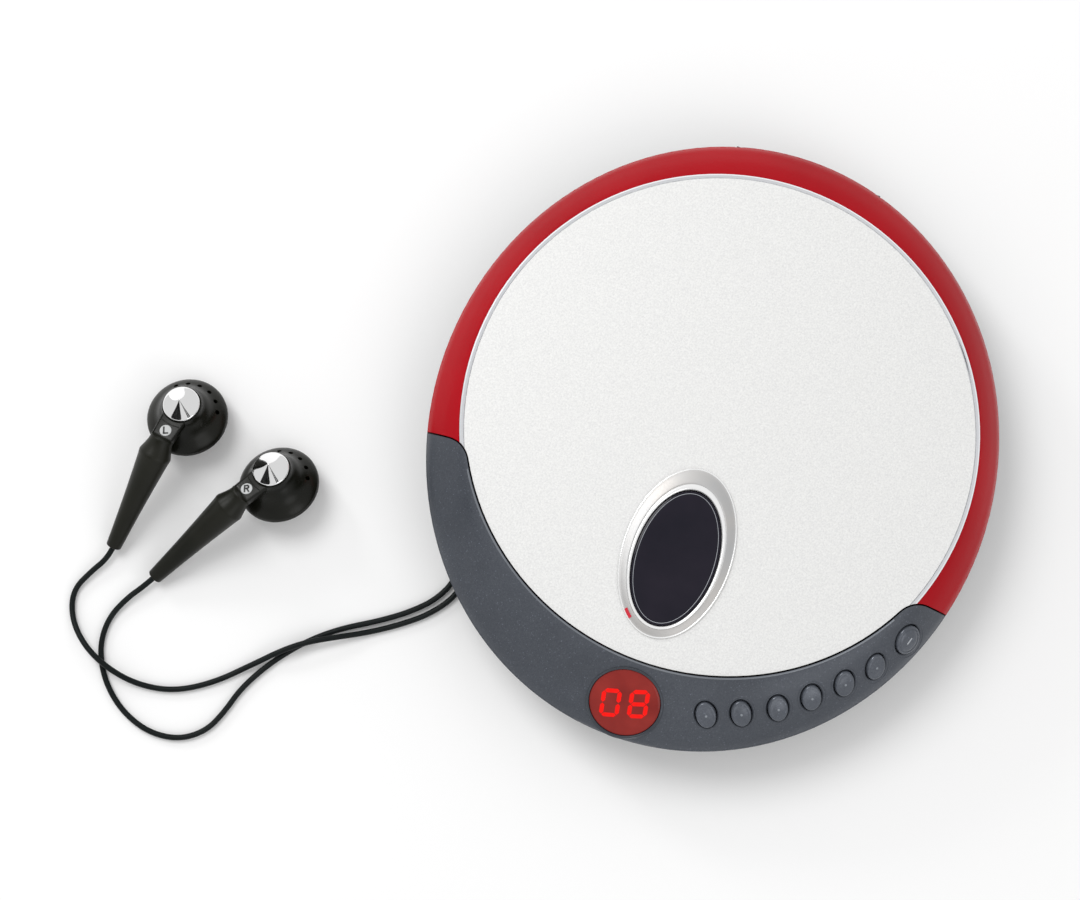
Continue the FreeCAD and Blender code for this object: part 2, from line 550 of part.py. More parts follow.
ch = plated([("-13.2", "-50.4"), ("-20.6", "-50.4"), ("-20.6", "-53.2"), ("-15.2", "-53.2"), ("-15.2", "-58.2"), ("15.2", "-58.2"), ("15.2", "-53"), ("21", "-46"),
             ("21", "16"), ("-13.2", "16")], [("0", "spindle_y", "4.4")], "chassis_thick", (0, 0, D["chassis_z"]))
blocks = [box(30.4, 1.6, 3.4, (-15.2, -58.2, D["chassis_z"])), box(5.0, 1.6, 2.6, (-20.6, -53.2, D["chassis_z"])),
          box(3.4, 1.6, 3.4, (10.3, -5.0, D["chassis_z"])), box(3.2, 1.6, 3.4, (-13.2, -5.0, D["chassis_z"]))]
holes = [cyl("rod_radius", 60, (sx * D["rod_x"], -59.5, D["rod_z"]), toward((0, 1, 0))) for sx in (-1, 1)]
holes.append(cyl("rod_radius + 0.05", 4, (-D["screw_x"], -54, D["screw_z"]), toward((0, 1, 0))))
holes.append(box(12.0, 20.0, 2.0, (-6.0, -40.0, D["chassis_z"] - 0.5)))
node(cut(fuse(ch, *blocks), fuse(*holes)), "mech_chassis")
rods = [cyl("rod_radius", "rod_length", (sx * D["rod_x"], -57.4, D["rod_z"]), toward((0, 1, 0))) for sx in (-1, 1)]
node(fuse(*rods), "guide_rods")
node(turned([("0", "0"), ("3.8", "0"), ("3.8", "13"), ("1.4", "13"), ("1.4", "13.8"), ("0", "13.8")], (-D["screw_x"], 11.0, D["screw_z"]), toward((0, -1, 0))), "sled_motor")
ls = turned([("0", "0"), ("screw_radius", "0"), ("screw_radius", "screw_length - 2.4"), ("rod_radius", "screw_length - 2.4"), ("rod_radius", "screw_length"), ("0", "screw_length")],
            (-D["screw_x"], -3.0, D["screw_z"]), toward((0, -1, 0)))
gro = [doc.addObject("Part::Torus", nm("Thread")) for _ in range(14)]
for i, g in enumerate(gro):
    g.Radius1, g.Radius2 = D["screw_radius"] + 0.12, 0.32
    g.Placement = FreeCAD.Placement(V(-D["screw_x"], -6.0 - 3.0 * i, D["screw_z"]), toward((0, -1, 0)))
node(cut(ls, fuse(*gro)), "lead_screw")
sled = plated([("-20", "-10"), ("-20", "-1"), ("-15", "-1"), ("-15", "-1"), ("15", "-1"), ("15", "-17.5"), ("-15", "-17.5"), ("-15", "-10")][0:0] or
              [("-20", "-10"), ("-20", "-1"), ("15", "-1"), ("15", "-16.5"), ("-15", "-16.5"), ("-15", "-10")], [], "2.9", (0, -5.5, 13.5))
arm = box(5.0, 9.0, 1.7, (-20.0, -15.5, 11.8))
deckp = box(14.0, 12.0, 1.2, (-7.0, -20.5, 16.4))
boreL = [cyl("rod_radius + 0.05", 30, (sx * D["rod_x"], -25, D["rod_z"]), toward((0, 1, 0))) for sx in (-1, 1)]
boreS = cyl("screw_radius + 0.05", 30, (-D["screw_x"], -25, D["screw_z"]), toward((0, 1, 0)))
lensh = cyl(3.05, 4, (0, -18.5, 15.6))
node(cut(fuse(sled, arm, deckp), fuse(*boreL, boreS, lensh)), "pickup_sled")
node(turned([("0", "0"), ("2.95", "0"), ("2.95", "2.6"), ("2.3", "3.1"), ("1.6", "3.1"), ("1.2", "2.9"), ("0", "3.4")], (0, -18.5, 15.65)), "pickup_lens")
dmp = [cut(cyl(3.0, 1.5, (x, y, 10.8)), cyl(0.9, 2.5, (x, y, 10.4))) for x, y in POSTS]
node(fuse(*dmp), "dampers")

# ------------------------------------------------------------------ electronics and power
brd = plated(None, [], "board_thick", (0, SY, D["board_z"]), circle=("0", "0", "board_radius"))
trim = [box(130, 60, 4, (-65, D["board_edge_y"], 3)), box(16, 14.2, 4, (35.6, -19.3, 3)), cyl(9.2, 4, (wc.x, wc.y, 3))]
trim += [cyl(3.3, 4, (x, y, 3)) for x, y in BOSSES[:2]] + [cyl(2.6, 4, (x, y, 3)) for x, y in POSTS]
node(cut(brd, fuse(*trim)), "main_board")
bt = D["board_z"] + D["board_thick"]
prt = [box(10, 10, 1.6, (-28, -12, bt)), box(7, 5, 1.4, (-8, -30, bt)), box(5, 9, 1.4, (10, -26, bt)), box(6, 6, 1.2, (-20, -34, bt)),
       cyl(2.5, 4.6, (-38, -6, bt)), cyl(2.5, 4.6, (-38, 1, bt)), cyl(2.0, 4.2, (22, -30, bt)), box(8, 3, 2.6, (-36, -20, bt)),
       box(3, 8, 3.4, (26, -10, bt)), cyl(1.9, 3.6, (-14, -6, bt)), box(12, 5, 2.0, (-6, -14, bt))]
node(fuse(*prt), "board_parts")
node(fuse(box(7, 7, 2.6, (wc.x - 5.2, wc.y - 3.5, FLR)), cyl(1.5, 3.1, (wc.x, wc.y, FLR + 2.5))), "volume_pot")
jr = FreeCAD.Rotation(V(1, 0, 0), polar(JA, 1, 0) - polar(JA, 0, 0))
jb = box(11, 8, 6.2, (0, 0, 0))
jb.Placement = FreeCAD.Placement(polar(JA, 41, 0) + (polar(JA + 90, 1, 0) - polar(JA + 90, 0, 0)) * -4.0 + V(0, 0, FLR), FreeCAD.Rotation(V(0, 0, 1), JA - 90))
jcut = cyl("plug_radius + 0.05", 16, tuple(polar(JA, 39.5, D["jack_z"])), toward(tuple(polar(JA, 1, 0) - polar(JA, 0, 0))))
node(cut(jb, jcut), "phone_jack")
db = box(11, 9, 6.2, (0, 0, 0))
db.Placement = FreeCAD.Placement(polar(DA, 41, 0) + (polar(DA + 90, 1, 0) - polar(DA + 90, 0, 0)) * -4.5 + V(0, 0, FLR), FreeCAD.Rotation(V(0, 0, 1), DA - 90))
ddir = tuple(polar(DA, 1, 0) - polar(DA, 0, 0))
node(fuse(cut(db, cyl(2.75, 12, tuple(polar(DA, 43.5, D["jack_z"])), toward(ddir))), cyl(1.0, 8.0, tuple(polar(DA, 43.0, D["jack_z"])), toward(ddir))), "dc_jack")
cells = []
for i, (yy, sgn) in enumerate(((D["cell_near_y"], 1), (D["cell_far_y"], -1))):
    cells.append(fuse(cyl("cell_radius", "cell_length - 1", (-sgn * (25.25 - 0.5), yy, D["cell_z"]), toward((sgn, 0, 0))),
                      cyl(2.7, 1.2, (sgn * 24.65, yy, D["cell_z"]), toward((sgn, 0, 0)))))
    doc.recompute()
node(fuse(*cells), "battery_cells")
ct = []
for sx in (-1, 1):
    ct.append(box(0.5, 26.6, 10.0, (26.1 if sx > 0 else -26.6, 19.0, 4.4)))
node(fuse(*ct), "battery_contacts")
bd = box("door_width", "door_depth", "door_thick", (-D["door_width"] / 2, 47.8 - D["door_depth"], 1.0))
dpin = [cyl("door_pin", 1.5, (26.2, 47.5, 1.62), toward((1, 0, 0))), cyl("door_pin", 1.5, (-27.7, 47.5, 1.62), toward((1, 0, 0)))]
nick = fuse(box(12, 1.2, 0.4, (-6, 20.0, 0.95)), box(12, 1.2, 0.4, (-6, 22.4, 0.95)), box(12, 1.2, 0.4, (-6, 24.8, 0.95)))
node(cut(fuse(bd, *dpin), nick), "battery_door")
wh = turned([("1.54", "0"), ("wheel_radius - 0.3", "0"), ("wheel_radius", "0.3"), ("wheel_radius", "wheel_thick - 0.3"), ("wheel_radius - 0.3", "wheel_thick"),
             ("1.54", "wheel_thick")])
kn = [cyl(0.3, 3, (D["wheel_radius"] * cos(radians(15 * i)), D["wheel_radius"] * sin(radians(15 * i)), -0.2)) for i in range(24)]
vw = cut(wh, fuse(*kn))
node(vw, "volume_wheel")
vw.Placement = FreeCAD.Placement(V(wc.x, wc.y, 6.0), FreeCAD.Rotation())
print("wheel", [round(v, 5) for v in wc])
feet = [cyl("foot_radius", "foot_height", (f.x, f.y, 0)) for f in FEET]
node(fuse(*feet), "rubber_feet")
scr = [fuse(cyl("screw_head", 1.0, (x, y, 1.0)), cyl(1.15, 12.0, (x, y, 1.5))) for x, y in BOSSES]
node(fuse(*scr), "case_screws")
rib1 = Part.makeBox(7, 0.3, 10.8, V(-29, -36.4, D["board_z"] + D["board_thick"])).fuse(Part.makeBox(7, 17.0, 0.3, V(-29, -53.1, D["sub_board_z"] - 0.3))).removeSplitter()
node(feat(rib1, "Ribbon"), "ribbon_cable")

# ------------------------------------------------------------------ earphones
LD, SD = D["lead_dia"], D["strand_dia"]
JD = polar(JA, 1, 0) - polar(JA, 0, 0)
TD = V(cos(radians(JA)), sin(radians(JA)), 0)
JZ = D["jack_z"]
pl1 = Part.makeCylinder(D["plug_radius"], 13.2, polar(JA, 41.5, JZ), JD).fuse(Part.makeCone(1.0, D["plug_radius"], 1.6, polar(JA, 40.0, JZ), JD))
node(feat(pl1, "Plug"), "phone_plug")
g0 = polar(JA, 58.3, JZ)
LE = g0 + TD * 17.0
gr = D["grip_radius"]
outline = [(0, -3.6), (gr - 0.9, -3.6), (gr, -2.7), (gr, 9.5), (gr - 0.9, 10.4), (1.9, 10.4), (1.25, 17.0), (0, 17.0), (0, -3.6)]
grip = Part.Face(Part.makePolygon([V(r, 0, q) for r, q in outline])).revolve(V(0, 0, 0), V(0, 0, 1), 360)
grip = grip if grip.ShapeType == "Solid" else Part.Solid(grip)
grip = grip.transformed(FreeCAD.Placement(g0, FreeCAD.Rotation(V(0, 0, 1), TD)).toMatrix())
if grip.Volume < 0:
    grip.reverse()
grip = grip.fuse(Part.makeCylinder(2.2, 3.6, polar(JA, 54.7, JZ), JD))
node(feat(grip, "PlugGrip"), "plug_grip")
print("lead exit", [round(v, 4) for v in LE], "plug dir", [round(v, 4) for v in JD])


def tube(points, dia, label):
    """Round cord along straight runs joined by tangent arcs."""
    P = [V(*p) for p in points]
    n = len(P)
    runs = [(P[i + 1] - P[i]).Length for i in range(n - 1)]
    segs, cur, radii = [], P[0], []
    for i in range(1, n - 1):
        a, b = (P[i] - P[i - 1]).normalize(), (P[i + 1] - P[i]).normalize()
        turn = acos(max(-1, min(1, a.dot(b))))
        t = 0.45 * min(runs[i - 1], runs[i])
        r = t / tan(turn / 2)
        radii.append(r)
        s, e = P[i] - a * t, P[i] + b * t
        bis = (b - a).normalize()
        m = P[i] + bis * (r / cos(turn / 2) - r)
        if (s - cur).Length > 1e-6:
            segs.append(Part.LineSegment(cur, s).toShape())
        segs.append(Part.Arc(s, m, e).toShape())
        cur = e
    segs.append(Part.LineSegment(cur, P[-1]).toShape())
    w = Part.Wire(segs)
    c = Part.Wire([Part.Circle(P[0], (P[1] - P[0]), dia / 2).toShape()])
    s = w.makePipeShell([c], True, False)
    if s.Volume < 0:
        s.reverse()
    want = pi * dia * dia / 4 * w.Length
    print("cord %-18s length %.1f volume ratio %.4f least radius %.2f (%.1f d) points %d runs %.1f-%.1f" % (
        label, w.Length, s.Volume / want, min(radii), min(radii) / dia, n, min(runs), max(runs)), s.isValid())
    zmin = min(v.z for v in s.tessellate(0.02)[0])
    if zmin < -0.001:
        print("   reaches below the floor", zmin)
    return s, w


# hank of the lead, laid in a slim flat bundle behind the drum
HKX, HKY, HKZ = 0.0, 66.9, 0.5
RI_, RO_, HA = 4.5 - LD / 2, 6.0 + LD / 2, 14.0


def race(r, z0, z1):
    s = Part.makeBox(2 * HA, 2 * r, z1 - z0, V(-HA, -r, z0))
    for sx in (-1, 1):
        s = s.fuse(Part.makeCylinder(r, z1 - z0, V(sx * HA, 0, z0)))
    s = s.removeSplitter()
    s.translate(V(HKX, HKY, 0))
    return s


hank = race(RO_, HKZ, HKZ + 5 * LD).cut(race(RI_, HKZ - 1, HKZ + 9))
tw = D["tie_wall"]
t0 = cube(HKX - 3.0, HKY - RO_ - tw, 0.0, HKX + 3.0, HKY + RO_ + tw, HKZ + 5 * LD + tw)
t1 = cube(HKX - 3.1, HKY - RO_, HKZ, HKX + 3.1, HKY + RO_, HKZ + 5 * LD)
hank = hank.removeSplitter()
node(feat(hank, "Hank"), "lead_hank")
node(feat(t0.cut(t1), "Tie"), "hank_tie")

LZ = LD / 2 + 0.02
# right piece of the lead: out of the plug's strain relief, down to the floor and into the hank's right end
lead_b = [tuple(LE), tuple(LE + TD * 3.0 + V(0, 0, -0.45)), (32.2, 59.7, 3.4), (28.2, 61.6, 1.9), (24.1, 64.3, 1.25), (20.5, 67.6, 1.25)]
sb_, wb_ = tube(lead_b, LD, "lead_right")
# left piece: from the splitter along the floor into the hank's left end
SPc = V(-38.6, 53.4, 0)
SPd = V(0.80, 0.60, 0).normalize()
lead_a = [tuple(SPc + SPd * 6.55 + V(0, 0, 1.5)), (-30.0, 59.5, 1.3), (-26.4, 61.9, 0.9), (-23.3, 64.6, 1.0), (-20.5, 67.6, 1.25)]
sa_, wa_ = tube(lead_a, LD, "lead_left")
node(feat(sa_, "LeadLeft"), "lead_left")
node(feat(sb_, "LeadRight"), "lead_right")

# splitter where the lead parts into two strands
sp = Part.makeBox(8, 5.6, 3.0, V(-4.0, -2.8, 0))
sp = sp.makeFillet(0.9, [e for e in sp.Edges if abs(e.CenterOfMass.z - 1.5) < 0.1])
sp = sp.makeChamfer(0.4, [e for e in sp.Edges if e.BoundBox.ZMin > 2.9])
sp = sp.fuse(Part.makeCone(1.5, 1.2, 2.6, V(3.9, 0, 1.5), V(1, 0, 0)))
o = feat(sp, "Splitter")
o.Placement = FreeCAD.Placement(SPc, FreeCAD.Rotation(V(1, 0, 0), SPd))
node(o, "cord_splitter")
SPn = V(-SPd.y, SPd.x, 0)
eL = SPc - SPd * 4.0 + SPn * 1.5 + V(0, 0, 1.0)
eR = SPc - SPd * 4.0 - SPn * 1.5 + V(0, 0, 1.0)
print("splitter ends", [round(v, 3) for v in eL], [round(v, 3) for v in eR])

# earbuds: a turned shell lying on its front, a flat arm and a tapered stem
BUDS = {
    "left": dict(c=(-123.4, -36.1), cap=(-125.2, -33.6), end=(-130.5, -71.1), tip=(-131.7, -72.6)),
    "right": dict(c=(-96.0, -44.5), cap=(-99.2, -41.2), end=(-118.4, -74.8), tip=(-120.2, -75.6)),
}
BR = D["bud_radius"]
STEM = {}
for side, b in BUDS.items():
    c = V(b["c"][0], b["c"][1], 0)
    k = V(b["cap"][0], b["cap"][1], 0)
    lean = (k - c)
    tilt = degrees(atan2(lean.Length, 11.0))
    ax = V(0, 0, 1).cross(lean).normalize()
    rot = FreeCAD.Rotation(ax, tilt)
    up = rot.multVec(V(0, 0, 1))
    # housing: grille rim, widest at z 5, bell-shaped back up to the neck under the cap
    prof = [(0, 1.7), (7.2, 0.6), (8.6, 1.2), (9.3, 2.6), (10.0, 3.4), (10.0, 4.4), (8.9, 5.9), (7.4, 7.2), (6.2, 9.0), (5.0, 10.6), (4.4, 12.2), (0, 12.2)]
    w = Part.makePolygon([V(r, 0, z) for r, z in prof] + [V(0, 0, 1.7)])
    sh = Part.Face(w).revolve(V(0, 0, 0), V(0, 0, 1), 360)
    sh = Part.Solid(sh) if sh.ShapeType != "Solid" else sh
    if sh.Volume < 0:
        sh.reverse()
    sh = sh.cut(Part.makeCylinder(7.0, 1.6, V(0, 0, 0)))
    for i in range(6):
        a = radians(20 + 22 * i)
        sh = sh.cut(Part.makeCylinder(0.55, 3.0, V(7.3 * cos(a), 7.3 * sin(a), 5.2)))
    capz = 12.2
    cone = Part.makeCone(4.5, 0.0, 2.6, V(0, 0, capz + 0.6)).fuse(Part.makeCylinder(4.5, 0.6, V(0, 0, capz))).removeSplitter()
    fr = Part.makeCylinder(6.9, 0.85, V(0, 0, 0.75))
    low = sh.transformed(FreeCAD.Placement(c, rot).toMatrix()).BoundBox.ZMin
    base = FreeCAD.Placement(c - V(0, 0, low) + V(0, 0, 0.0), rot)
    kp = base.multVec(V(0, 0, 11.2))
    endp = V(b["end"][0], b["end"][1], 2.3)
    # arm from the neck, then the tapered stem down to the floor
    d0 = V(endp.x - kp.x, endp.y - kp.y, 0).normalize()
    tilt_arm = base.inverse().Rotation.multVec(d0)
    a_loc = V(tilt_arm.x, tilt_arm.y, 0).normalize()
    arm = Part.makeBox(9.6, 6.2, 2.0, V(0, -3.1, 10.0)).transformed(FreeCAD.Placement(V(0, 0, 0), FreeCAD.Rotation(V(1, 0, 0), a_loc)).toMatrix())
    shell = sh.fuse(arm)
    shell = shell.transformed(base.toMatrix())
    knee = base.multVec(a_loc * 9.6 + V(0, 0, 11.0))
    sd = (endp - knee)
    L = sd.Length
    sdn = sd * (1.0 / L)
    # flare to the widest part, then taper to the cord
    st = Part.makeCone(2.9, 4.1, 4.4, knee - sdn * 0.4, sdn).fuse(Part.makeCone(4.1, 1.8, L - 4.0, knee + sdn * 4.0, sdn))
    zlow = st.BoundBox.ZMin
    st = st.cut(shell)
    st = max(st.Solids, key=lambda q: q.Volume)
    cone_w, fr_w = cone.transformed(base.toMatrix()), fr.transformed(base.toMatrix())
    shell = shell.cut(cone_w).cut(fr_w)
    shell = max(shell.Solids, key=lambda q: q.Volume)
    STEM[side] = (endp, sdn)
    print("bud", side, "tilt %.1f low %.3f stem low %.3f knee" % (tilt, shell.BoundBox.ZMin, st.BoundBox.ZMin), [round(v, 3) for v in knee], "end", [round(v, 3) for v in endp], "dir", [round(v, 4) for v in sdn], "base", [round(v, 4) for v in base.Base], "up", [round(v, 4) for v in up], 'arm', [round(v, 4) for v in a_loc])
    node(feat(shell, "Bud"), "earbud_shell_" + side)
    node(feat(st, "Stem"), "earbud_stem_" + side)
    node(feat(cone_w, "Cap"), "earbud_cap_" + side)
    node(feat(fr_w, "Front"), "earbud_front_" + side)

SZ = SD / 2 + 0.02
el, dl = STEM["left"]
er, dr_ = STEM["right"]


def lead_in(e, d):
    """First two points straight out of the stem."""
    return [tuple(e), tuple(e + V(d.x, d.y, 0).normalize() * 3.2 + V(0, 0, -0.55))]


CT = 2.75
left_pts = lead_in(el, dl) + [(-133.6, -78.6, 1.25), (-136.4, -84.6, SZ), (-134.2, -91.2, SZ), (-128.6, -96.4, CT), (-121.6, -99.6, CT), (-113.6, -101.0, 0.9), (-104.6, -99.6, SZ), (-96.0, -94.4, SZ),
            (-88.4, -86.9, 0.95), (-82.4, -81.0, CT), (-77.4, -77.2, CT), (-71.4, -73.9, CT - 0.4), (-64.6, -70.2, SZ), (-57.8, -65.8, SZ), (-51.4, -60.6, SZ), (-46.9, -54.2, SZ),
            (-45.8, -46.6, SZ), (-48.9, -38.0, SZ), (-53.6, -28.2, SZ), (-57.2, -17.2, SZ), (-58.9, -5.8, SZ), (-59.2, 5.9, SZ), (-58.6, 17.2, SZ), (-56.0, 27.8, SZ), (-51.2, 37.8, SZ),
            (-46.9, 44.2, SZ), tuple(eR + SPd * -4.4 + V(0, 0, -0.1)), tuple(eR)]
right_pts = lead_in(er, dr_) + [(-123.0, -81.8, 1.25), (-125.6, -87.6, SZ), (-125.6, -93.8, SZ), (-123.4, -99.4, SZ), (-119.6, -104.4, SZ), (-114.0, -108.6, SZ), (-106.8, -111.0, SZ), (-99.2, -110.2, SZ), (-93.6, -106.0, SZ),
             (-91.0, -100.2, SZ), (-89.2, -93.6, SZ), (-85.3, -86.4, SZ), (-80.8, -80.4, SZ), (-76.0, -75.4, SZ), (-70.2, -70.9, SZ), (-63.6, -67.0, SZ), (-57.0, -62.4, SZ), (-51.2, -56.8, SZ), (-48.2, -49.8, SZ),
             (-49.8, -41.4, SZ), (-55.4, -31.8, SZ), (-59.7, -20.4, SZ), (-62.0, -8.0, SZ), (-62.7, 4.8, SZ), (-62.2, 17.4, SZ), (-59.8, 29.4, SZ), (-55.2, 40.2, SZ),
             (-50.4, 46.8, SZ), tuple(eL + SPd * -4.4 + V(0, 0, -0.1)), tuple(eL)]
s1, w1 = tube(left_pts, SD, "left_cord")
s2, w2 = tube(right_pts, SD, "right_cord")
print("left/right clearance", round(s1.distToShape(s2)[0], 3))
node(feat(s1, "LeftCord"), "left_cord")
node(feat(s2, "RightCord"), "right_cord")
PTS = {"left": left_pts, "right": right_pts, "lead_a": lead_a, "lead_b": lead_b}
for k_, v_ in PTS.items():
    print("POINTS", k_, [tuple(round(q, 2) for q in p) for p in v_])

# ------------------------------------------------------------------ write
doc.recompute()
bad = []
for o in doc.Objects:
    if any(s in ("Invalid", "Error") for s in o.State):
        bad.append((o.Name, o.Label, o.State))
for label, o in NODES:
    s = o.Shape
    if s.isNull() or not s.isValid() or not s.Solids:
        bad.append((label, "shape"))
if bad:
    raise SystemExit("failed objects: %s" % bad)
os.makedirs("parts", exist_ok=True)
for label, o in NODES:
    s = o.Shape
    if s.Volume < 0:
        raise SystemExit("inside out: " + label)
    s.exportStep("parts/%s.step" % label)
print(len(NODES), "nodes written")
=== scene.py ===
import bpy
import bmesh
import json
import math
import random
import numpy as np
from math import sin, cos, pi, sqrt, radians, atan2, hypot
from mathutils import Vector, Matrix


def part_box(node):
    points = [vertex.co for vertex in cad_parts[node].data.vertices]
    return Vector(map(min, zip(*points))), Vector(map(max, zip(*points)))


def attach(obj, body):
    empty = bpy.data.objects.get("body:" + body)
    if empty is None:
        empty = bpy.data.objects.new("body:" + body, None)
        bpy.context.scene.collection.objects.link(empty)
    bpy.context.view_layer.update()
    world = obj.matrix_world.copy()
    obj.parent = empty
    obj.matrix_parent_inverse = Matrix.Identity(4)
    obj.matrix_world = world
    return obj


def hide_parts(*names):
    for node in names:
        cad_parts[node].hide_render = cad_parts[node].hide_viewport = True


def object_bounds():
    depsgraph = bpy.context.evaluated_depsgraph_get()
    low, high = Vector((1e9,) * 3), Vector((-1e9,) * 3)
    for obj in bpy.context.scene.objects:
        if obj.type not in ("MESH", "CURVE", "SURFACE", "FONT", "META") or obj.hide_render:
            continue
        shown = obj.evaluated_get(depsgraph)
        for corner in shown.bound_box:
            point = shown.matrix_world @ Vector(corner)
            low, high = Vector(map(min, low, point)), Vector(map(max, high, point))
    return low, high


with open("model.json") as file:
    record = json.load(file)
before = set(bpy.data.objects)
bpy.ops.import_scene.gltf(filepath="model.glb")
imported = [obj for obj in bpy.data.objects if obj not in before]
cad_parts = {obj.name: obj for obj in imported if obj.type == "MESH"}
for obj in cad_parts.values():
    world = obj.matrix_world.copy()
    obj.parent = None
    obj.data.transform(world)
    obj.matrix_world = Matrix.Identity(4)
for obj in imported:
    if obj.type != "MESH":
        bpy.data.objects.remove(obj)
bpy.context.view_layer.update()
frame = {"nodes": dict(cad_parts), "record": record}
NODES = frame["nodes"]
MM = 0.001
random.seed(7)
scene = bpy.context.scene


def link(o):
    scene.collection.objects.link(o)
    return o


# ------------------------------------------------------------------ camera
cam_data = bpy.data.cameras.new("view_camera")
cam = link(bpy.data.objects.new("view_camera", cam_data))
cam_data.sensor_fit = "HORIZONTAL"
cam_data.sensor_width = 36.0
cam_data.lens = 91.17
cam_data.clip_start = 0.02
cam_data.clip_end = 20
CX = Vector((0.94274869, 0.33299484, 0.01842127))
CY = Vector((-0.33294179, 0.93651684, 0.10993625))
CZ = CX.cross(CY)
CP = Vector((-26.415, -87.851, 675.762)) * MM
cam.matrix_world = Matrix(((CX.x, CY.x, CZ.x, CP.x), (CX.y, CY.y, CZ.y, CP.y), (CX.z, CY.z, CZ.z, CP.z), (0, 0, 0, 1)))
scene.camera = cam


# ------------------------------------------------------------------ material tools
class Mat:
    """A procedural material: a Principled shader with noise-driven colour, roughness and bump."""

    def __init__(self, name):
        self.m = bpy.data.materials.new(name)
        self.m.use_nodes = True
        self.nt = self.m.node_tree
        self.b = self.nt.nodes["Principled BSDF"]
        self.tc = self.nt.nodes.new("ShaderNodeTexCoord")
        self.height = None

    def put(self, **kw):
        for k, v in kw.items():
            self.b.inputs[k.replace("_", " ")].default_value = v
        return self

    def new(self, kind, **props):
        n = self.nt.nodes.new(kind)
        for k, v in props.items():
            setattr(n, k, v)
        return n

    def noise(self, scale, detail=2.0, rough=0.5, stretch=None):
        n = self.new("ShaderNodeTexNoise")
        n.inputs["Scale"].default_value = scale
        n.inputs["Detail"].default_value = detail
        n.inputs["Roughness"].default_value = rough
        src = self.tc.outputs["Object"]
        if stretch:
            mp = self.new("ShaderNodeMapping")
            mp.inputs["Scale"].default_value = stretch
            self.nt.links.new(src, mp.inputs["Vector"])
            src = mp.outputs["Vector"]
        self.nt.links.new(src, n.inputs["Vector"])
        return n.outputs["Fac"]

    def cells(self, scale, feature="F1"):
        n = self.new("ShaderNodeTexVoronoi", feature=feature)
        n.inputs["Scale"].default_value = scale
        self.nt.links.new(self.tc.outputs["Object"], n.inputs["Vector"])
        return n

    def ramp(self, fac, stops):
        r = self.new("ShaderNodeValToRGB")
        e = r.color_ramp.elements
        while len(e) < len(stops):
            e.new(0.5)
        for i, (p, c) in enumerate(stops):
            e[i].position = p
            e[i].color = (c[0], c[1], c[2], 1)
        self.nt.links.new(fac, r.inputs["Fac"])
        return r.outputs["Color"]

    def colour(self, out):
        self.nt.links.new(out, self.b.inputs["Base Color"])
        return self

    def rough(self, fac, lo, hi):
        n = self.new("ShaderNodeMapRange")
        n.inputs["To Min"].default_value = lo
        n.inputs["To Max"].default_value = hi
        self.nt.links.new(fac, n.inputs["Value"])
        self.nt.links.new(n.outputs["Result"], self.b.inputs["Roughness"])
        return self

    def bump(self, fac, strength, dist):
        n = self.new("ShaderNodeBump")
        n.inputs["Strength"].default_value = strength
        n.inputs["Distance"].default_value = dist
        self.nt.links.new(fac, n.inputs["Height"])
        if self.height is not None:
            self.nt.links.new(self.height, n.inputs["Normal"])
        self.height = n.outputs["Normal"]
        self.nt.links.new(self.height, self.b.inputs["Normal"])
        return self

    def mul(self, a, b, mode="MULTIPLY", fac=1.0):
        n = self.new("ShaderNodeMix", data_type="RGBA", blend_type=mode)
        n.inputs[0].default_value = fac
        self.nt.links.new(a, n.inputs[6])
        self.nt.links.new(b, n.inputs[7])
        return n.outputs[2]


def moulded(name, lo, hi, r0, r1, grain=2600.0, strength=0.25, dist=0.00006, coat=0.0, **kw):
    """Moulded plastic: a fine spark-eroded texture with slow colour variation."""
    m = Mat(name)
    m.put(**kw)
    if coat:
        m.put(Coat_Weight=coat, Coat_Roughness=0.08)
    m.colour(m.ramp(m.noise(60, 4), [(0.3, lo), (0.7, hi)]))
    m.rough(m.noise(220, 3), r0, r1)
    m.bump(m.noise(grain, 3, 0.6), strength, dist)
    return m.m


def metal(name, lo, hi, r0, r1, stretch=None, scale=900.0, strength=0.12, **kw):
    """Metal with fine directional marks."""
    m = Mat(name)
    m.put(Metallic=1.0, **kw)
    n = m.noise(scale, 3, 0.6, stretch)
    m.colour(m.ramp(n, [(0.25, lo), (0.75, hi)]))
    m.rough(m.noise(scale * 0.6, 2, 0.5, stretch), r0, r1)
    m.bump(n, strength, 0.00003)
    return m.m


# slate metallic paint of the control crescent
def slate(name, k=1.0, r0=0.36, r1=0.48, coat=0.12):
    m = Mat(name)
    m.put(Metallic=0.35, Coat_Weight=coat, Coat_Roughness=0.2, Specular_IOR_Level=0.35)
    flake = m.cells(4200)
    base = m.ramp(m.noise(45, 5, 0.6), [(0.25, (0.062 * k, 0.069 * k, 0.082 * k)), (0.75, (0.086 * k, 0.095 * k, 0.112 * k))])
    spark = m.ramp(flake.outputs["Color"], [(0.0, (0.75, 0.76, 0.8)), (0.85, (1.0, 1.0, 1.0)), (1.0, (1.9, 1.9, 2.0))])
    m.colour(m.mul(base, spark))
    m.rough(m.noise(500, 3), r0, r1)
    m.bump(m.noise(1500, 3, 0.6), 0.18, 0.00005)
    return m.m


def red_gloss():
    m = Mat("red_gloss")
    m.put(Coat_Weight=0.08, Coat_Roughness=0.04, Coat_IOR=1.4, Specular_IOR_Level=0.12, IOR=1.4)
    m.colour(m.ramp(m.noise(35, 4), [(0.3, (0.34, 0.002, 0.007)), (0.7, (0.40, 0.004, 0.010))]))
    m.rough(m.noise(260, 3), 0.2, 0.3)
    m.bump(m.noise(90, 2), 0.03, 0.0001)
    m.bump(m.noise(1400, 2), 0.05, 0.00002)
    return m.m


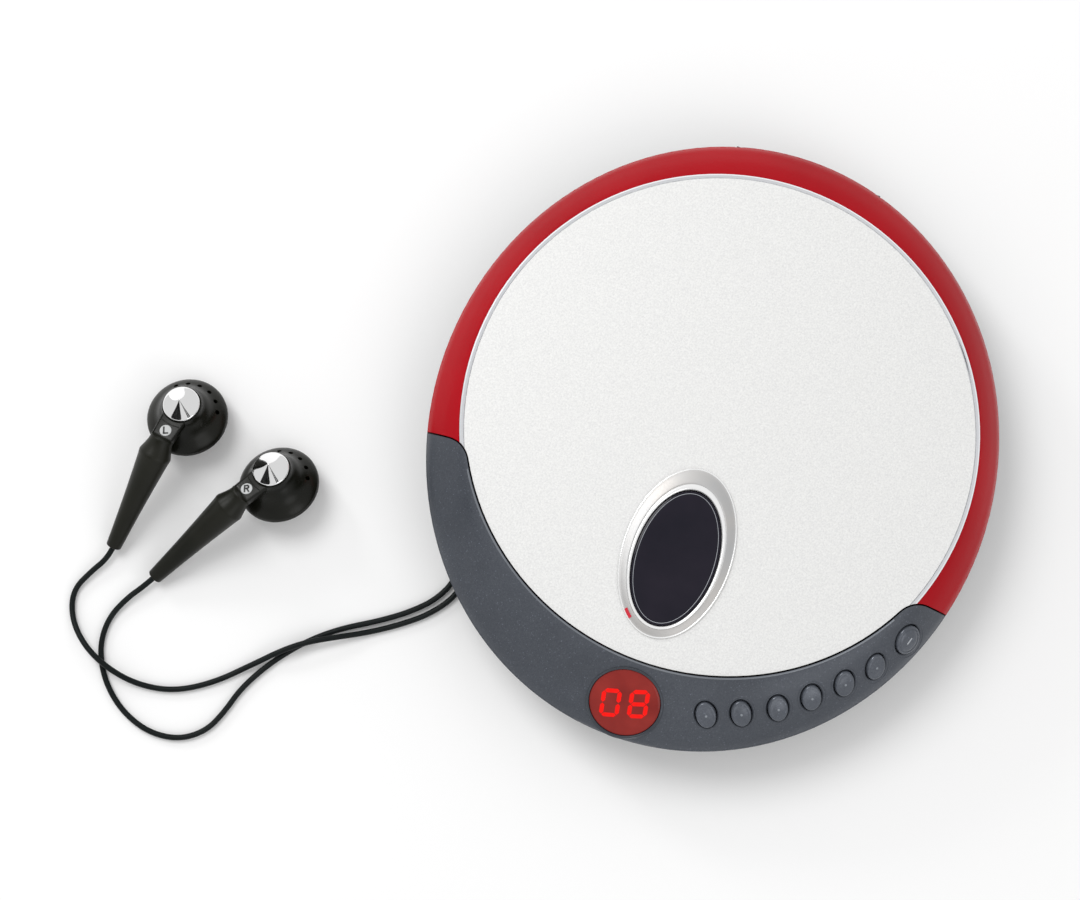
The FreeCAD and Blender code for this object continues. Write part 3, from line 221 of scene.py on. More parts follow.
def silver_plate():
    m = Mat("silver_grain")
    m.put(Metallic=0.25, Specular_IOR_Level=0.5)
    c1 = m.cells(3600)
    c2 = m.noise(2100, 3, 0.6)
    base = m.ramp(c2, [(0.25, (0.70, 0.70, 0.69)), (0.5, (0.765, 0.765, 0.755)), (0.78, (0.83, 0.83, 0.82))])
    spark = m.ramp(c1.outputs["Color"], [(0.0, (0.92, 0.92, 0.93)), (0.5, (0.99, 0.99, 0.99)), (1.0, (1.06, 1.06, 1.06))])
    m.colour(m.mul(base, spark))
    m.rough(m.noise(1800, 3), 0.4, 0.6)
    m.bump(m.noise(3200, 3, 0.6), 0.2, 0.00004)
    return m.m


def satin_bezel():
    m = Mat("satin_bezel")
    m.put(Metallic=0.85)
    m.colour(m.ramp(m.noise(70, 4), [(0.3, (0.49, 0.495, 0.50)), (0.7, (0.56, 0.54, 0.52))]))
    m.rough(m.noise(2600, 2), 0.44, 0.54)
    m.bump(m.noise(3800, 3, 0.6), 0.12, 0.00003)
    return m.m


def chrome(name, r=0.05, c=(0.93, 0.93, 0.94)):
    m = Mat(name)
    m.put(Metallic=1.0)
    m.colour(m.ramp(m.noise(120, 3), [(0.3, c), (0.7, tuple(v * 0.97 for v in c))]))
    m.rough(m.noise(900, 3), r, r + 0.05)
    m.bump(m.noise(260, 3), 0.03, 0.00005)
    return m.m


def smoked():
    m = Mat("smoked_glass")
    m.put(Coat_Weight=0.12, Coat_Roughness=0.03, Specular_IOR_Level=0.16, IOR=1.5)
    m.colour(m.ramp(m.noise(90, 4), [(0.3, (0.007, 0.006, 0.013)), (0.75, (0.014, 0.011, 0.020))]))
    m.rough(m.noise(300, 3), 0.07, 0.16)
    m.bump(m.noise(140, 2), 0.02, 0.0001)
    return m.m


def red_filter():
    m = Mat("red_filter")
    m.put(Coat_Weight=0.14, Coat_Roughness=0.05, Specular_IOR_Level=0.15)
    m.colour(m.ramp(m.noise(160, 4), [(0.3, (0.21, 0.016, 0.013)), (0.7, (0.29, 0.026, 0.020))]))
    m.rough(m.noise(300, 3), 0.12, 0.22)
    m.bump(m.noise(700, 2), 0.05, 0.00004)
    return m.m


def digit_red():
    m = Mat("digit_red")
    m.put(Emission_Color=(1.0, 0.015, 0.01, 1), Emission_Strength=0.45, Specular_IOR_Level=0.05)
    m.colour(m.ramp(m.noise(900, 3), [(0.3, (0.50, 0.004, 0.004)), (0.7, (0.60, 0.007, 0.006))]))
    m.rough(m.noise(500, 2), 0.35, 0.5)
    return m.m


def cord_sheath():
    m = Mat("cord_sheath")
    m.put(Specular_IOR_Level=0.16)
    m.colour(m.ramp(m.noise(300, 3), [(0.3, (0.002, 0.004, 0.004)), (0.7, (0.005, 0.008, 0.008))]))
    m.rough(m.noise(900, 3), 0.38, 0.52)
    m.bump(m.noise(2600, 3), 0.2, 0.00004)
    return m.m


def board():
    m = Mat("board_green")
    n = m.new("ShaderNodeTexBrick")
    n.inputs["Scale"].default_value = 260
    n.inputs["Color1"].default_value = (0.012, 0.13, 0.05, 1)
    n.inputs["Color2"].default_value = (0.016, 0.16, 0.065, 1)
    n.inputs["Mortar"].default_value = (0.03, 0.24, 0.1, 1)
    n.inputs["Mortar Size"].default_value = 0.06
    m.nt.links.new(m.tc.outputs["Object"], n.inputs["Vector"])
    m.colour(n.outputs["Color"])
    m.rough(m.noise(400, 2), 0.25, 0.4)
    m.bump(n.outputs["Fac"], 0.2, 0.00003)
    return m.m


M = {
    "case_black": moulded("case_black", (0.016, 0.017, 0.019), (0.026, 0.027, 0.03), 0.42, 0.6, 2400, 0.35),
    "deck_black": moulded("deck_black", (0.022, 0.022, 0.025), (0.034, 0.034, 0.038), 0.4, 0.58, 2000, 0.35),
    "slate_panel": slate("slate_panel"),
    "slate_key": slate("slate_key", 1.3, 0.24, 0.34, 0.3),
    "red_lid": red_gloss(),
    "silver_plate": silver_plate(),
    "chrome_trim": chrome("chrome_trim", 0.08, (0.88, 0.89, 0.92)),
    "satin_bezel": satin_bezel(),
    "smoked_glass": smoked(),
    "display_red": red_filter(),
    "module_dark": moulded("module_dark", (0.03, 0.006, 0.007), (0.05, 0.01, 0.01), 0.5, 0.6),
    "steel": metal("ground_steel", (0.5, 0.5, 0.51), (0.66, 0.66, 0.67), 0.18, 0.32, (1, 1, 12)),
    "hub_grey": moulded("hub_grey", (0.12, 0.12, 0.125), (0.17, 0.17, 0.175), 0.38, 0.5),
    "sled_black": moulded("sled_black", (0.02, 0.02, 0.024), (0.035, 0.035, 0.04), 0.4, 0.55),
    "chassis_steel": metal("zinc_sheet", (0.42, 0.43, 0.42), (0.62, 0.62, 0.6), 0.3, 0.5, None, 120),
    "motor_can": metal("drawn_can", (0.48, 0.48, 0.47), (0.6, 0.6, 0.59), 0.25, 0.4, (1, 1, 8)),
    "rubber_black": moulded("rubber_black", (0.012, 0.012, 0.012), (0.022, 0.022, 0.022), 0.65, 0.85, 1800, 0.4),
    "board_green": board(),
    "chip_black": moulded("chip_black", (0.012, 0.012, 0.013), (0.025, 0.025, 0.026), 0.4, 0.6),
    "cell_jacket": moulded("cell_jacket", (0.14, 0.16, 0.19), (0.19, 0.21, 0.24), 0.25, 0.35, 1200, 0.08, Metallic=0.6),
    "spring_plate": metal("nickel_spring", (0.55, 0.54, 0.5), (0.68, 0.67, 0.63), 0.2, 0.35),
    "jack_black": moulded("jack_black", (0.012, 0.012, 0.013), (0.02, 0.02, 0.021), 0.35, 0.5),
    "wheel_black": moulded("wheel_black", (0.02, 0.02, 0.022), (0.03, 0.03, 0.033), 0.45, 0.6),
    "ribbon_white": moulded("ribbon_white", (0.55, 0.55, 0.52), (0.66, 0.66, 0.63), 0.4, 0.5),
    "screw_black": metal("screw_black", (0.05, 0.05, 0.05), (0.09, 0.09, 0.09), 0.3, 0.45),
    "plug_gold": metal("plug_gold", (0.75, 0.52, 0.2), (0.86, 0.64, 0.28), 0.12, 0.25),
    "cord_black": cord_sheath(),
    "tie_black": moulded("tie_black", (0.015, 0.015, 0.016), (0.025, 0.025, 0.026), 0.5, 0.65),
    "bud_black": moulded("bud_black", (0.003, 0.0035, 0.002), (0.009, 0.009, 0.006), 0.22, 0.34, 1500, 0.12, Specular_IOR_Level=0.22),
    "bud_rubber": moulded("bud_rubber", (0.005, 0.0055, 0.003), (0.013, 0.013, 0.009), 0.32, 0.44, 1900, 0.25, 0.00008, Specular_IOR_Level=0.2),
    "cap_chrome": chrome("cap_chrome", 0.03, (0.95, 0.95, 0.95)),
    "grille_black": moulded("grille_black", (0.01, 0.01, 0.01), (0.03, 0.03, 0.03), 0.35, 0.5, 3000, 0.8, 0.0002),
    "optic_glass": moulded("optic_glass", (0.02, 0.03, 0.09), (0.05, 0.05, 0.14), 0.03, 0.08, 300, 0.02, coat=0.8),
}
SLOT = {s["node"]: s["material_slot"] for s in frame["record"]["subparts"]}
for n, o in NODES.items():
    o.data.materials.clear()
    o.data.materials.append(M[SLOT[n]])
# polished metal for the window's lip and outer line, partly painted highlight: its near-white diffuse colour keeps them
# bright all round
POLISHED_AND_PAINTED_HIGHLIGHT = moulded("polished_lip_painted_highlight", (0.93, 0.93, 0.93), (0.97, 0.97, 0.97), 0.14, 0.2, 900, 0.03, Metallic=0.55)
DIGIT = digit_red()
DARK = moulded("dark_gloss", (0.022, 0.028, 0.038), (0.032, 0.040, 0.052), 0.34, 0.44, 900, 0.03, coat=0.08)
# the crescent's edge bead: lighter than the slate panel, a painted highlight along the edge
EDGE_PAINTED_HIGHLIGHT = moulded("edge_painted_highlight", (0.17, 0.185, 0.21), (0.23, 0.245, 0.27), 0.2, 0.3, 1200, 0.08, Metallic=0.5)
LABEL = moulded("label_grey", (0.44, 0.45, 0.45), (0.54, 0.55, 0.55), 0.45, 0.55, 1600, 0.1)
INK = moulded("ink_black", (0.008, 0.008, 0.008), (0.014, 0.014, 0.014), 0.5, 0.6)
HOLE = moulded("hole_black", (0.002, 0.002, 0.002), (0.004, 0.004, 0.004), 0.8, 0.9)
TICK = moulded("tick_red", (0.55, 0.01, 0.03), (0.65, 0.015, 0.04), 0.3, 0.4)
# pale colour: the open key's printed mark, and a painted reflection line inside the window glass
PALE_MARK_AND_REFLECTION = moulded("pale_mark_and_painted_reflection", (0.35, 0.37, 0.4), (0.45, 0.47, 0.5), 0.35, 0.45)
DOT = moulded("key_dot", (0.20, 0.22, 0.25), (0.28, 0.30, 0.33), 0.3, 0.4)


# ------------------------------------------------------------------ mesh tools
def mesh_object(name, verts, faces, mat, body, smooth=True, sharp=None, scale=MM):
    me = bpy.data.meshes.new(name)
    me.from_pydata([tuple(float(c) * scale for c in v) for v in verts], [], [tuple(f) for f in faces])
    me.validate()
    me.update()
    o = link(bpy.data.objects.new(name, me))
    bm = bmesh.new()
    bm.from_mesh(me)
    bmesh.ops.recalc_face_normals(bm, faces=bm.faces)
    bm.to_mesh(me)
    bm.free()
    me.shade_smooth() if smooth else me.shade_flat()
    if smooth:
        me.set_sharp_from_angle(angle=radians(sharp if sharp else 40))
    me.materials.append(mat)
    if body:
        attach(o, body)
    return o


def rings_to_mesh(rings, closed_top=True, closed_bottom=True):
    """Quads between equal closed rings, with the two ends filled by a fan."""
    n = len(rings[0])
    v, f = [], []
    for r in rings:
        v += list(r)
    for i in range(len(rings) - 1):
        for j in range(n):
            a, b = i * n + j, i * n + (j + 1) % n
            f.append((a, b, b + n, a + n))
    for flag, idx in ((closed_bottom, 0), (closed_top, len(rings) - 1)):
        if flag:
            c = np.mean(np.array([tuple(p) for p in rings[idx]]), axis=0)
            v.append(tuple(c))
            k = len(v) - 1
            for j in range(n):
                f.append((idx * n + j, idx * n + (j + 1) % n, k))
    return v, f


def lathe(profile, mtx, n=96):
    """Rings of a turned shape: profile is (radius, height) from bottom to top."""
    rings = []
    for r, z in profile:
        rings.append([mtx @ Vector((max(r, 0.0005) * cos(2 * pi * j / n), max(r, 0.0005) * sin(2 * pi * j / n), z)) for j in range(n)])
    return rings


def soften(profile, k=2):
    """Corner-cutting, which rounds a profile's corners."""
    p = [Vector(q) for q in profile]
    for _ in range(k):
        out = [p[0]]
        for a, b in zip(p, p[1:]):
            out += [a * 0.75 + b * 0.25, a * 0.25 + b * 0.75]
        out.append(p[-1])
        p = out
    return [tuple(q) for q in p]


def basis(x, y, z, o):
    return Matrix(((x.x, y.x, z.x, o.x), (x.y, y.y, z.y, o.y), (x.z, y.z, z.z, o.z), (0, 0, 0, 1)))


def tube_mesh(points, radius, n=16, closed=False, squash=1.0, ups=None):
    """Quads round a line of points."""
    P = [Vector(p) for p in points]
    rings = []
    m = len(P)
    for i, p in enumerate(P):
        if closed:
            t = (P[(i + 1) % m] - P[i - 1]).normalized()
        else:
            t = (P[min(i + 1, m - 1)] - P[max(i - 1, 0)]).normalized()
        up = Vector(ups[i]) if ups else Vector((0, 0, 1))
        s = t.cross(up).normalized()
        u = s.cross(t).normalized()
        rings.append([p + s * (radius * cos(2 * pi * j / n)) + u * (radius * squash * sin(2 * pi * j / n)) for j in range(n)])
    v, f = rings_to_mesh(rings, not closed, not closed)
    if closed:
        k = (m - 1) * n
        for j in range(n):
            f.append((k + j, k + (j + 1) % n, (j + 1) % n, j))
    return v, f


# ------------------------------------------------------------------ cords
LEFT = [(-130.5, -71.1, 2.3), (-130.92, -74.27, 1.75), (-133.6, -78.6, 1.25), (-136.4, -84.6, 0.72), (-134.2, -91.2, 0.72), (-128.6, -96.4, 2.75), (-121.6, -99.6, 2.75), (-113.6, -101.0, 0.9),
        (-104.6, -99.6, 0.72), (-96.0, -94.4, 0.72), (-88.4, -86.9, 0.95), (-82.4, -81.0, 2.75), (-77.4, -77.2, 2.75), (-71.4, -73.9, 2.35), (-64.6, -70.2, 0.72), (-57.8, -65.8, 0.72),
        (-51.4, -60.6, 0.72), (-46.9, -54.2, 0.72), (-45.8, -46.6, 0.72), (-48.9, -38.0, 0.72), (-53.6, -28.2, 0.72), (-57.2, -17.2, 0.72), (-58.9, -5.8, 0.72), (-59.2, 5.9, 0.72),
        (-58.6, 17.2, 0.72), (-56.0, 27.8, 0.72), (-51.2, 37.8, 0.72), (-46.9, 44.2, 0.72), (-44.42, 47.16, 0.9), (-40.9, 49.8, 1.0)]
RIGHT = [(-118.4, -74.8, 2.3), (-119.98, -77.58, 1.75), (-123.0, -81.8, 1.25), (-125.6, -87.6, 0.72), (-125.6, -93.8, 0.72), (-123.4, -99.4, 0.72), (-119.6, -104.4, 0.72), (-114.0, -108.6, 0.72),
         (-106.8, -111.0, 0.72), (-99.2, -110.2, 0.72), (-93.6, -106.0, 0.72), (-91.0, -100.2, 0.72), (-89.2, -93.6, 0.72), (-85.3, -86.4, 0.72), (-80.8, -80.4, 0.72), (-76.0, -75.4, 0.72),
         (-70.2, -70.9, 0.72), (-63.6, -67.0, 0.72), (-57.0, -62.4, 0.72), (-51.2, -56.8, 0.72), (-48.2, -49.8, 0.72), (-49.8, -41.4, 0.72), (-55.4, -31.8, 0.72), (-59.7, -20.4, 0.72),
         (-62.0, -8.0, 0.72), (-62.7, 4.8, 0.72), (-62.2, 17.4, 0.72), (-59.8, 29.4, 0.72), (-55.2, 40.2, 0.72), (-50.4, 46.8, 0.72), (-46.22, 49.56, 0.9), (-42.7, 52.2, 1.0)]
LEAD_IN = [(38.01, 52.87, 5.6), (36.29, 55.32, 5.15), (32.2, 59.7, 3.4), (28.2, 61.6, 1.9), (24.1, 64.3, 1.25), (20.5, 68.4, 1.25)]
LEAD_OUT = [(-20.6, 65.6, 5.9), (-22.4, 63.7, 3.6), (-26.4, 61.5, 1.5), (-30.0, 59.5, 1.3), (-33.36, 57.33, 1.5)]
# the folded turns: two turns to a layer, five layers
tie_lo, tie_hi = [v * 1000 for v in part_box("hank_tie")[0]], [v * 1000 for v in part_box("hank_tie")[1]]
HX, HY = (tie_lo[0] + tie_hi[0]) / 2, (tie_lo[1] + tie_hi[1]) / 2
HALF = 14.0
TURNS = []
for t in range(10):
    layer = t // 2
    inner = (t % 2 == 0) == (layer % 2 == 0)
    z = 1.25 + 1.5 * layer
    R = 4.5 if inner else 6.0
    rc = R / 0.925
    ring = []
    for k in range(12):
        if k < 4:
            a = radians(-67.5 + 45 * k)
            p = (HALF + rc * cos(a), rc * sin(a))
        elif k < 6:
            p = ((5, R), (-5, R))[k - 4]
        elif k < 10:
            a = radians(112.5 + 45 * (k - 6))
            p = (-HALF + rc * cos(a), rc * sin(a))
        else:
            p = ((-5, -R), (5, -R))[k - 10]
        ring.append((HX + p[0], HY + p[1], z))
    if t == 0:
        ring = ring[3:]
    if t == 9:
        ring = ring[:8]
    TURNS += ring
LEAD = LEAD_IN + TURNS + LEAD_OUT


def nurbs_cord(name, pts, dia, body="root"):
    cu = bpy.data.curves.new(name, "CURVE")
    cu.dimensions = "3D"
    cu.resolution_u = 10
    cu.bevel_depth = dia / 2
    cu.bevel_resolution = 5
    cu.use_fill_caps = True
    sp = cu.splines.new("NURBS")
    sp.points.add(len(pts) - 1)
    for i, p in enumerate(pts):
        sp.points[i].co = (p[0] * MM, p[1] * MM, p[2] * MM, 1)
    sp.order_u = 3
    sp.use_endpoint_u = True
    cu.materials.append(M["cord_black"])
    o = link(bpy.data.objects.new(name, cu))
    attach(o, body)
    return o


def spline_length(pts):
    """Length of the quadratic B-spline over these control points."""
    P = np.array(pts)
    mid = [P[0]] + [(P[i] + P[i + 1]) / 2 for i in range(1, len(P) - 2)] + [P[-1]]
    tot = 0.0
    for i in range(len(mid) - 1):
        a, c, b = mid[i], P[i + 1], mid[i + 1]
        t = np.linspace(0, 1, 33)[:, None]
        q = (1 - t) ** 2 * a + 2 * t * (1 - t) * c + t * t * b
        tot += float(np.linalg.norm(np.diff(q, axis=0), axis=1).sum())
    return tot * MM


strand_left = nurbs_cord("strand_left", LEFT[::-1], 0.0014)
strand_right = nurbs_cord("strand_right", RIGHT[::-1], 0.0014)
lead = nurbs_cord("earphone_lead", LEAD, 0.0015)
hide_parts("left_cord")
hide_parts("right_cord")
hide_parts("lead_left", "lead_right", "lead_hank")


# ------------------------------------------------------------------ the lid's and panel's crowned surface
case_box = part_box("bottom_case")
OX = (case_box[1][0] - case_box[0][0]) * 500
OY = 74.4
plate_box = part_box("lid_plate")
PR = 61.4
PY = plate_box[1][1] * 1000 - (PR - 0.05)
R0 = 62.5
OX = 69.0
PROF = sorted([(1.0, 17.5), (0.92, 18.75), (0.75, 20.5), (0.5, 22.6), (0.25, 24.4), (0.0, 25.9), (-0.25, 26.75), (-0.6, 27.2)])


def natural_spline(pts):
    x = np.array([p[0] for p in pts]); y = np.array([p[1] for p in pts])
    n = len(x); h = np.diff(x)
    A = np.eye(n); b = np.zeros(n)
    for i in range(1, n - 1):
        A[i, i - 1], A[i, i], A[i, i + 1] = h[i - 1], 2 * (h[i - 1] + h[i]), h[i]
        b[i] = 6 * ((y[i + 1] - y[i]) / h[i] - (y[i] - y[i - 1]) / h[i - 1])
    m = np.linalg.solve(A, b)

    def f(t):
        t = np.clip(t, x[0], x[-1])
        i = np.clip(np.searchsorted(x, t) - 1, 0, n - 2)
        d = h[i]; a1 = (x[i + 1] - t); b1 = (t - x[i])
        return m[i] * a1 ** 3 / (6 * d) + m[i + 1] * b1 ** 3 / (6 * d) + (y[i] / d - m[i] * d / 6) * a1 + (y[i + 1] / d - m[i + 1] * d / 6) * b1
    return f


HZ_OF = natural_spline(PROF)


def w_of(x, y):
    th = np.arctan2(y - PY, x)
    s, c = np.sin(th), np.cos(th)
    a = (c / OX) ** 2 + (s / OY) ** 2
    b = 2 * PY * s / OY ** 2
    cc = (PY / OY) ** 2 - 1
    ro = (-b + np.sqrt(b * b - 4 * a * cc)) / (2 * a)
    return (np.hypot(x, y - PY) - R0) / (ro - R0)


def dome(x, y):
    return HZ_OF(w_of(np.asarray(x, float), np.asarray(y, float)))


def dome_normal(x, y, e=0.08):
    gx = (dome(x + e, y) - dome(x - e, y)) / (2 * e)
    gy = (dome(x, y + e) - dome(x, y - e)) / (2 * e)
    n = np.array([-gx, -gy, np.ones_like(gx)]).T
    return n / np.linalg.norm(n, axis=-1, keepdims=True)


def crowned(name, node, mat, body, tol=0.35, max_edge=1.7):
    """The node's shape with its crowned face made smooth: the face is divided finely, put on the true crown and given the crown's own normals."""
    me = NODES[node].data.copy()
    me.name = name
    bm = bmesh.new()
    bm.from_mesh(me)
    bmesh.ops.remove_doubles(bm, verts=bm.verts, dist=2e-6)
    bmesh.ops.dissolve_degenerate(bm, edges=bm.edges, dist=1e-7)

    def crown_faces():
        bm.normal_update()
        co = np.array([v.co[:] for v in bm.verts]) / MM
        off = np.abs(co[:, 2] - dome(co[:, 0], co[:, 1]))
        w = w_of(co[:, 0], co[:, 1])
        bm.verts.ensure_lookup_table()
        # the thin web in front of the display keeps its own faces
        web = (np.hypot(co[:, 0], co[:, 1] + 66.0) < 12.0) & (w > 0.95)
        near = {v: (off[i] < tol or (w[i] > 0.985 and off[i] < 1.0)) and co[i, 2] > 17.45 and not web[i] for i, v in enumerate(bm.verts)}
        out = []
        for f in bm.faces:
            if f.normal.z > 0.12 and all(near[v] for v in f.verts):
                c = f.calc_center_median() / MM
                nd = dome_normal(np.array([c.x]), np.array([c.y]))[0]
                if f.normal.dot(Vector(nd)) > 0.8:
                    out.append(f)
        return out

    for _ in range(5):
        fs = crown_faces()
        es = list({e for f in fs for e in f.edges if e.calc_length() > max_edge * MM})
        if not es:
            break
        bmesh.ops.subdivide_edges(bm, edges=es, cuts=1)
        bmesh.ops.triangulate(bm, faces=[f for f in bm.faces if len(f.verts) > 3])
    fs = crown_faces()
    top = set(fs)
    vs = list({v for f in fs for v in f.verts})
    co = np.array([v.co[:] for v in vs]) / MM
    z = dome(co[:, 0], co[:, 1])
    for v, zz in zip(vs, z):
        if abs(v.co.z / MM - zz) < tol:
            v.co.z = zz * MM
    bm.normal_update()
    bm.faces.index_update()
    is_top = [f in top for f in bm.faces]
    bm.to_mesh(me)
    bm.free()
    o = link(bpy.data.objects.new(name, me))
    me.shade_smooth()
    me.set_sharp_from_angle(angle=radians(32))
    me.update()
    base = [tuple(c.vector) for c in me.corner_normals]
    co = np.array([v.co[:] for v in me.vertices]) / MM
    nrm = dome_normal(co[:, 0], co[:, 1])
    custom = list(base)
    for p in me.polygons:
        if is_top[p.index]:
            for li in p.loop_indices:
                custom[li] = tuple(nrm[me.loops[li].vertex_index])
    me.normals_split_custom_set(custom)
    me.materials.clear()
    me.materials.append(mat)
    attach(o, body)
    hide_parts(node)
    return o


lid_skin = crowned("lid_moulding", "lid_shell", M["red_lid"], "lid")
panel_skin = crowned("crescent_panel", "front_panel", M["slate_panel"], "root")

# the case moulding, with its two hinge lugs shaved to the case's outline at the back
me = NODES["bottom_case"].data.copy()
me.name = "case_moulding"
for vert in me.vertices:
    x, y = vert.co.x / MM, vert.co.y / MM
    if y > 66 and 12 < abs(x) < 22:
        lim = 74.4 * sqrt(1 - (x / 69.0) ** 2) + 0.25
        if y > lim:
            vert.co.y = lim * MM
me.update()
case_skin = link(bpy.data.objects.new("case_moulding", me))
me.materials.clear()
me.materials.append(M["case_black"])
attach(case_skin, "root")
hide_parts("bottom_case")

# the crescent's inner edge: a thin rounded bead along the arc, coloured lighter than the panel as a painted highlight
AX, AY = 61.6, 58.85
pts, ups = [], []
for i in range(161):
    a = radians(-158.2 + (158.2 - 21.8) * i / 160)
    x, y = (AX + 0.28) * cos(a), PY + (AY + 0.28) * sin(a)
    if y > -26.2:
        continue
    pts.append((x, y, float(dome(x, y)) - 0.12))
    ups.append(tuple(dome_normal(np.array([x]), np.array([y]))[0]))
v, f = tube_mesh(pts, 0.26, 12, ups=ups)
bead = mesh_object("crescent_edge_bead", v, f, EDGE_PAINTED_HIGHLIGHT, "root")


# ------------------------------------------------------------------ oval window
def oval_ring(cy, a, b, z, n=160, cx=0.0):
    return [(cx + a * cos(2 * pi * j / n), cy + b * sin(2 * pi * j / n), z) for j in range(n)]


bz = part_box("window_bezel")
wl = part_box("window_lens")
BA, BB = (bz[1][0] - bz[0][0]) * 500, (bz[1][1] - bz[0][1]) * 500
BCY = (bz[1][1] + bz[0][1]) * 500
LA, LB = (wl[1][0] - wl[0][0]) * 500, (wl[1][1] - wl[0][1]) * 500
LCY = (wl[1][1] + wl[0][1]) * 500
PT = plate_box[1][2] * 1000
BT = bz[1][2] * 1000


def between(t, grow_out=0.0, z=0.0, n=160):
    """Oval a fraction t of the way from the bezel's outer edge to the glass."""
    a, b, cy = BA + (LA - BA) * t - grow_out, BB + (LB - BB) * t - grow_out, BCY + (LCY - BCY) * t
    return oval_ring(cy, a, b, z, n)


rows = [between(0, 0.0, PT + 0.0), between(0, 0.0, PT + 0.28), between(0, 0.08, PT + 0.38), between(0, 0.2, PT + 0.43), between(0, 0.4, PT + 0.45)]
# the band rises in one shallow, nearly flat slope to the inner lip
for i in range(1, 11):
    t = i / 10
    rows.append(between(0.04 + 0.63 * t, 0.4 * (1 - t), PT + 0.45 + (BT - PT - 0.75) * (0.35 * t + 0.65 * (1 - (1 - t) ** 1.4))))
rows += [between(0.72, 0, BT - 0.42), between(0.72, 0, BT - 1.6), between(0.2, 0, BT - 1.9)]
rows.append(between(0.06, 0, PT + 0.0))
v, f = rings_to_mesh(rows, False, False)
n = 160
k = (len(rows) - 1) * n
for j in range(n):
    f.append((k + j, k + (j + 1) % n, (j + 1) % n, j))
bezel = mesh_object("window_surround", v, f, M["satin_bezel"], "lid", sharp=50)
# outer bright line and inner polished lip: polished metal, with a painted highlight in their near-white colour so they
# stay bright all round
rows = []
for i in range(13):
    a = pi * i / 12
    rows.append(between(0, 0.02 + 0.21 * (1 - cos(a)), PT + 0.34 + 0.2 * sin(a)))
v, f = rings_to_mesh(rows, False, False)
k = 12 * n
for j in range(n):
    f.append((k + j, k + (j + 1) % n, (j + 1) % n, j))
line = mesh_object("window_outer_line", v, f, POLISHED_AND_PAINTED_HIGHLIGHT, "lid", sharp=60)
rows = []
for i in range(15):
    a = pi * i / 14
    t = 0.70 + 0.24 * (1 - cos(a)) / 2
    rows.append(between(t, 0, BT - 0.30 + 0.30 * sin(a)))
rows += [between(0.955, 0, BT - 0.7), between(0.965, 0, BT - 1.3), between(0.75, 0, BT - 1.35)]
v, f = rings_to_mesh(rows, False, False)
k = (len(rows) - 1) * n
for j in range(n):
    f.append((k + j, k + (j + 1) % n, (j + 1) % n, j))
lip = mesh_object("window_inner_lip", v, f, POLISHED_AND_PAINTED_HIGHLIGHT, "lid", sharp=60)
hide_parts("window_bezel")
# smoked glass with a bevelled edge
LT = wl[1][2] * 1000
rows = [oval_ring(LCY, LA - 0.04, LB - 0.04, LT - 1.15), oval_ring(LCY, LA - 0.04, LB - 0.04, LT - 0.45), oval_ring(LCY, LA - 0.1, LB - 0.1, LT - 0.34), oval_ring(LCY, LA - 0.4, LB - 0.4, LT - 0.27),
        oval_ring(LCY, LA - 0.85, LB - 0.85, LT - 0.2), oval_ring(LCY, LA - 1.5, LB - 1.5, LT - 0.12)]
for s in (0.8, 0.6, 0.4, 0.2, 0.05):
    rows.append(oval_ring(LCY, (LA - 1.5) * s, (LB - 1.5) * s, LT - 0.12 + 0.12 * (1 - s * s)))
v, f = rings_to_mesh(rows)
glass = mesh_object("window_glass", v, f, M["smoked_glass"], "lid", sharp=35)
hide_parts("window_lens")
# fine step line inside the glass edge, coloured pale as a painted reflection line
rows = []
for i in range(9):
    a = 2 * pi * i / 8
    rows.append(oval_ring(LCY, LA - 0.66 + 0.06 * cos(a), LB - 0.66 + 0.06 * cos(a), LT - 0.22 + 0.05 * sin(a)))
v, f = rings_to_mesh(rows, False, False)
step = mesh_object("window_step_painted_reflection", v, f, PALE_MARK_AND_REFLECTION, "lid")
# small red tick on the surround's lower left edge
rows = []
a0, a1 = radians(-126.0), radians(-116.5)
tick_v, tick_f = [], []
for i in range(13):
    a = a0 + (a1 - a0) * i / 12
    for t, zz in ((0.0, 0.40), (0.02, 0.64), (0.25, 0.86), (0.27, 0.60)):
        g = 0.35
        tick_v.append(((BA + (LA - BA) * t - g) * cos(a), BCY + (LCY - BCY) * t + (BB + (LB - BB) * t - g) * sin(a), PT + zz))
for i in range(12):
    for q in range(4):
        tick_f.append((i * 4 + q, i * 4 + (q + 1) % 4, (i + 1) * 4 + (q + 1) % 4, (i + 1) * 4 + q))
tick_f += [(0, 1, 2, 3), (48, 49, 50, 51)]
tick = mesh_object("surround_tick", tick_v, tick_f, TICK, "lid")

# ------------------------------------------------------------------ display
DC = Vector((0, -66.0, 22.5))
DN = Vector((0, -sin(radians(26)), cos(radians(26))))
# the readout's base line runs a little across the case
rx = Vector((0.9428, 0.3330, 0.0))
rx = (rx - DN * rx.dot(DN)).normalized()
ry = DN.cross(rx)
DM = basis(rx, ry, DN, DC)
DR = 8.6


def lens_z(r):
    return -55.35 + sqrt(56.0 ** 2 - r * r)


